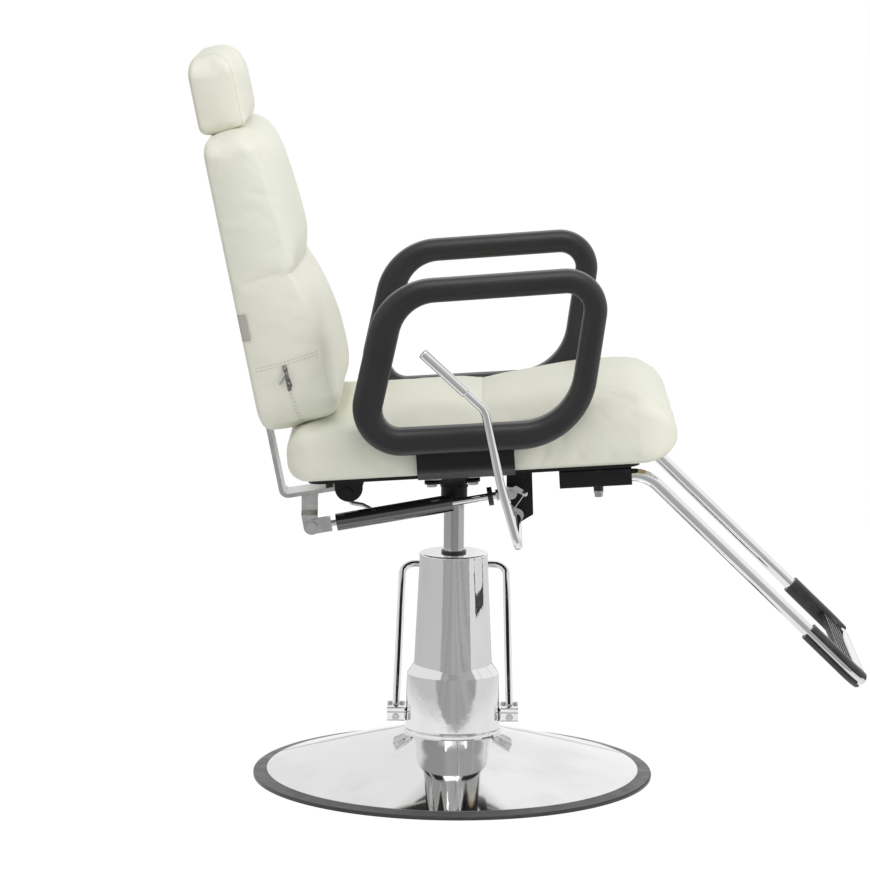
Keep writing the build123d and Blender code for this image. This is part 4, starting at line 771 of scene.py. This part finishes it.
def plate(bm, outline, low, high, lay, chamfer):
    "An outline made solid between two heights, its edges chamfered; lay gives each place."
    middle = [sum(spot[axis] for spot in outline) / len(outline) for axis in (0, 1)]

    def shrunk(spot):
        away = [spot[axis] - middle[axis] for axis in (0, 1)]
        size = sqrt(away[0] ** 2 + away[1] ** 2)
        return [spot[axis] - away[axis] / size * chamfer for axis in (0, 1)]

    levels = [(low, True), (low + chamfer, False), (high - chamfer, False), (high, True)]
    rings = [[bm.verts.new(lay(*(shrunk(spot) if drawn_in else spot), height)) for spot in outline]
             for height, drawn_in in levels]
    count = len(outline)
    for near, far in zip(rings, rings[1:]):
        for side in range(count):
            after = (side + 1) % count
            bm.faces.new((near[side], near[after], far[after], far[side]))
    bm.faces.new(rings[0][::-1])
    bm.faces.new(rings[-1])


def stitches(name, rows):
    "Rows of top stitches: each one rises from its hole, lies on the cover and sinks again."
    bm = bmesh.new()
    share = stitch_length / (stitch_length + stitch_gap)
    for stops in rows:
        places = along_side(stops, stitch_length + stitch_gap)
        for start, end in zip(places, places[1:]):
            spots = []
            for step in range(5):
                part = share * step / 4
                lift = thread_r * 1.1 * sin(pi * step / 4) - thread_r * 0.5
                spots.append(on_side(start[0] + (end[0] - start[0]) * part,
                                     start[1] + (end[1] - start[1]) * part, lift)[0])
            tube(bm, spots, [thread_r * size for size in (0.7, 1.0, 1.05, 1.0, 0.7)])
    finished(name, bm, thread_finish)


stitches("band_stitches", [[(depth, rise + shift) for depth, rise in band_line]
                           for shift in (-band_shift, band_shift)])
stitches("zip_stitches", [[(depth + shift, rise - zip_drop) for depth, rise in zip_line]
                          for shift in (-zip_shift, zip_shift)])

# Zip: tape, interlocked teeth, a slider with its pull, and a second pull splayed beside it
chain = [(depth, rise) for depth, rise in along_side(zip_line, tooth_pitch) if rise > chain_end]
bm = bmesh.new()
for index, (depth, rise) in enumerate(chain):
    hand = 1 if index % 2 else -1
    spot, normal = on_side(depth, rise, 0.0002)
    along = (BACK.to_3x3() @ Vector((0.02, 0, -1))).normalized()
    across = normal.cross(along).normalized() * hand
    tooth = [(-0.0006, -0.0006), (0.0008, -0.0008), (0.0013, 0.0), (0.0008, 0.0008),
             (-0.0006, 0.0006), (-0.0014, 0.0005), (-0.0022, 0.0006), (-0.0022, -0.0006),
             (-0.0014, -0.0005)]
    plate(bm, tooth, 0.0, tooth_high,
          lambda a, b, up: spot - across * a + along * b + normal * up, 0.0002)
finished("zip_teeth", bm, zip_metal, smooth=False)

bm = bmesh.new()
tape_low, tape_high = [], []
for depth, rise in along_side([zip_line[0], (zip_line[1][0], chain_end)], 0.002):
    for row, lift in ((tape_low, -0.0006), (tape_high, 0.0003)):
        row.append([bm.verts.new(on_side(depth + side, rise, lift)[0]) for side in tape_sides])
for row in (tape_low, tape_high):
    for start, end in zip(row, row[1:]):
        for side in range(4):
            bm.faces.new((start[side], start[side + 1], end[side + 1], end[side]))
for side in (0, 4):
    for index in range(len(tape_low) - 1):
        bm.faces.new((tape_low[index][side], tape_low[index + 1][side],
                      tape_high[index + 1][side], tape_high[index][side]))
for end in (0, -1):
    for side in range(4):
        bm.faces.new((tape_low[end][side], tape_low[end][side + 1],
                      tape_high[end][side + 1], tape_high[end][side]))
finished("zip_tape", bm, zip_weave)

slider_spot, slider_out = on_side(zip_line[0][0], slider_rise, 0.0)
slider_down = (BACK.to_3x3() @ Vector((0.0, 0, -1))).normalized()
slider_over = slider_out.cross(slider_down).normalized()


def slider_frame(turn, lean, start=(0.0, 0.0, 0.0)):
    "Lays a flat outline out from the slider, turned about its normal and leaned off the cover."
    ahead = slider_down * cos(turn) + slider_over * sin(turn)
    over = slider_over * cos(turn) - slider_down * sin(turn)
    ahead, out = (ahead * cos(lean) + slider_out * sin(lean),
                  slider_out * cos(lean) - ahead * sin(lean))
    origin = slider_spot + slider_over * start[0] + slider_down * start[1] + slider_out * start[2]
    return lambda across, along, up: origin + over * across + ahead * along + out * up


slider = [(-0.0036, -0.0050), (-0.0016, -0.0060), (0.0, -0.0052), (0.0016, -0.0060),
          (0.0036, -0.0050), (0.0032, 0.0010), (0.0022, 0.0050), (-0.0022, 0.0050),
          (-0.0032, 0.0010)]
bridge = [(-0.0012, -0.0040), (0.0012, -0.0040), (0.0012, 0.0038), (-0.0012, 0.0038)]
tab = [(-tab_half * 0.7, 0.0), (tab_half * 0.7, 0.0), (tab_half, 0.004), (tab_half * 0.8, 0.008),
       (tab_half * 1.15, 0.013), (tab_half * 1.15, tab_length - 0.002),
       (tab_half * 0.6, tab_length), (-tab_half * 0.6, tab_length),
       (-tab_half * 1.15, tab_length - 0.002), (-tab_half * 1.15, 0.013),
       (-tab_half * 0.8, 0.008), (-tab_half, 0.004)]
bm = bmesh.new()
flat = slider_frame(0.0, 0.0)
plate(bm, slider, 0.0012, 0.0026, flat, 0.0004)
plate(bm, bridge, 0.0024, 0.0046, flat, 0.0005)
hang = slider_frame(0.16, 0.02, (0.0, 0.0030, 0.0040))
plate(bm, tab, 0.0, 0.0012, hang, 0.0003)
loop = [flat(0.0016 * cos(turn), 0.0030 + 0.0010 * sin(turn), 0.0048 + 0.0012 * sin(turn))
        for turn in (pi * step / 6 for step in range(13))]
tube(bm, loop, [0.0004] * len(loop))
finished("zip_slider", bm, zip_metal)
bm = bmesh.new()
splay = slider_frame(-0.66, 0.02, (0.0, 0.0040, 0.0030))
plate(bm, [(across * 1.05, along * 0.85) for across, along in tab], 0.0, 0.0011, splay, 0.0003)
finished("zip_pull", bm, slot_finish["zinc_steel"])

# Blank label, folded and sewn into the rear seam of the side
bm = bmesh.new()
layers = []
for thick in (0.0, label_thick):
    grid = []
    for up in range(label_rows + 1):
        rise = label_low + (label_high - label_low) * up / label_rows
        row = []
        for over in range(label_columns + 1):
            share = over / label_columns
            curl = 0.0022 * share ** 1.6 + 0.0007 * sin(5.0 * up / label_rows + 2.0) * share
            depth = label_inset + label_reach * share
            row.append(bm.verts.new(on_side(depth, rise, 0.0002 + curl + thick)[0]))
        grid.append(row)
    layers.append(grid)
for grid in layers:
    for up in range(label_rows):
        for over in range(label_columns):
            bm.faces.new((grid[up][over], grid[up][over + 1],
                          grid[up + 1][over + 1], grid[up + 1][over]))
rims = [[(up, over) for over in range(label_columns + 1)] for up in (0, label_rows)]
rims += [[(up, over) for up in range(label_rows + 1)] for over in (0, label_columns)]
for rim in rims:
    for start, end in zip(rim, rim[1:]):
        bm.faces.new([layers[0][start[0]][start[1]], layers[0][end[0]][end[1]],
                      layers[1][end[0]][end[1]], layers[1][start[0]][start[1]]])
finished("blank_label", bm, label_weave)


# Studio: a white sweep, lit from above and from the front, in a room that is darker
# behind the camera. Only shiny things see the room.
def floor_paint():
    "White to the camera. Shiny things see it bright near the base, and dark in the room's wedge."
    paint = Finish("pale_floor", grey(0.86), roughness=0.9, specular_ior_level=0.0,
                   emission_strength=1.0)
    ahead, across = -paint.axis("Y") - 0.06, paint.axis("X")
    away = (ahead * ahead + across * across) ** 0.5
    room = (ahead * 1.35 + 0.1 - across).above(0.0, 0.08)
    room = room * (ahead * 0.62 + 0.17 + across).above(0.0, 0.08)
    room = room * ahead.above(0.61, 0.06) * (ahead + across * 0.36).above(0.62, 0.06)
    streaks = paint.noise(3.0, 3.0, 0.6, paint.stretched(1.0, 0.05, 1.0))
    shiny = paint.ray("Glossy", "Transmission")
    seen = paint.ray("Camera", "Glossy", "Transmission")
    mirrored = paint.blend(across.above(0.1, 1.2), grey(0.52), grey(0.70))
    mirrored = paint.blend(away.above(0.8, 0.3), grey(0.88), mirrored)
    dark = paint.blend(streaks.above(0.5, 0.4), grey(0.25), grey(0.39))
    mirrored = paint.blend(room, mirrored, dark)
    glow = paint.blend(shiny, grey(0.95), mirrored)
    return paint.feed(base_color=paint.blend(seen, grey(0.86), grey(0.10)),
                      emission_color=paint.blend(seen, grey(0.0), glow))


def backdrop():
    "A white world, with a darker room behind the camera for shiny things alone."
    world = bpy.data.worlds.new("studio_world")
    scene.world = world
    sky = Graph(world, "Generated")
    side, depth, height = sky.axis("X"), sky.axis("Y"), sky.axis("Z")
    azimuth = side.maths("ARCTAN2", side, -depth)
    room = azimuth.between(-0.48, 0.94, 0.08) * (1.0 - height.above(0.5, 0.3))
    gap = height.between(0.70, 0.80, 0.03) * 0.7
    left = (1.0 - azimuth.above(-0.36, 0.3)) * 0.14
    room = (room * 0.7 + gap + left).above(0.5, 1.0)
    shades = [sky.node("Background", {}, {"Color": grey(1.0), "Strength": strength})
              for strength in (0.60, 1.0, 0.26)]
    shiny = sky.node("MixShader", {}, {0: room * sky.ray("Glossy"), 1: shades[1], 2: shades[2]})
    lit = sky.node("MixShader", {}, {0: sky.ray("Camera", "Glossy", "Transmission"),
                                     1: shades[0], 2: shiny})
    sky.node("OutputWorld", {}, {0: lit})


def softbox(name, place, aim, width, height, power, mirrored=False):
    "A soft lamp turned towards a place; shiny things see it only where it is mirrored."
    lamp = bpy.data.lights.new(name, "AREA")
    lamp.shape, lamp.size, lamp.size_y, lamp.energy = "RECTANGLE", width, height, power
    obj = bpy.data.objects.new(name, lamp)
    scene.collection.objects.link(obj)
    obj.location = place
    obj.rotation_euler = (Vector(aim) - Vector(place)).to_track_quat("-Z", "Y").to_euler()
    obj.visible_glossy = mirrored


reach = 40.0
corners = [(-reach, -reach, 0), (reach, -reach, 0), (reach, reach, 0), (-reach, reach, 0)]
floor_mesh = bpy.data.meshes.new("studio_floor")
floor_mesh.from_pydata(corners, [], [(0, 1, 2, 3)])
floor_mesh.materials.append(floor_paint())
floor = bpy.data.objects.new("studio_floor", floor_mesh)
scene.collection.objects.link(floor)
backdrop()
softbox("top_softbox", (0.2, -1.0, 3.2), (0.0, 0.0, 0.5), 2.4, 2.0, 31, True)
softbox("front_softbox", (3.2, -1.8, 1.8), (0.0, 0.0, 0.6), 1.8, 2.2, 40)
softbox("near_softbox", (-0.6, -4.4, 0.9), (0.0, 0.0, 0.4), 2.6, 1.6, 6)

# Camera, as the photograph was taken
camera_back, camera_up, camera_side = 6.17285, 1.4556, 0.02875
camera_pitch, camera_roll, camera_yaw = 0.15245395, -0.00673118, 0.00997317
sensor, focal_pixels, photo_pixels = 36.0, 4257.3834, 870
camera = bpy.data.objects.new("camera", bpy.data.cameras.new("camera"))
camera.data.sensor_width = sensor
camera.data.lens = focal_pixels / photo_pixels * sensor
camera.data.clip_end = 100.0
right = Vector((1, 0, 0))
up = Vector((0, sin(camera_pitch), cos(camera_pitch)))
ahead = Vector((0, cos(camera_pitch), -sin(camera_pitch)))
image_right = right * cos(camera_roll) - up * sin(camera_roll)
image_up = right * sin(camera_roll) + up * cos(camera_roll)
turn = Matrix((image_right, image_up, -ahead)).transposed().to_4x4()
camera.matrix_world = (Matrix.Rotation(camera_yaw, 4, "Z")
                       @ Matrix.Translation((-camera_side, -camera_back, camera_up)) @ turn)
scene.collection.objects.link(camera)
scene.camera = camera
scene.view_settings.view_transform = "Standard"
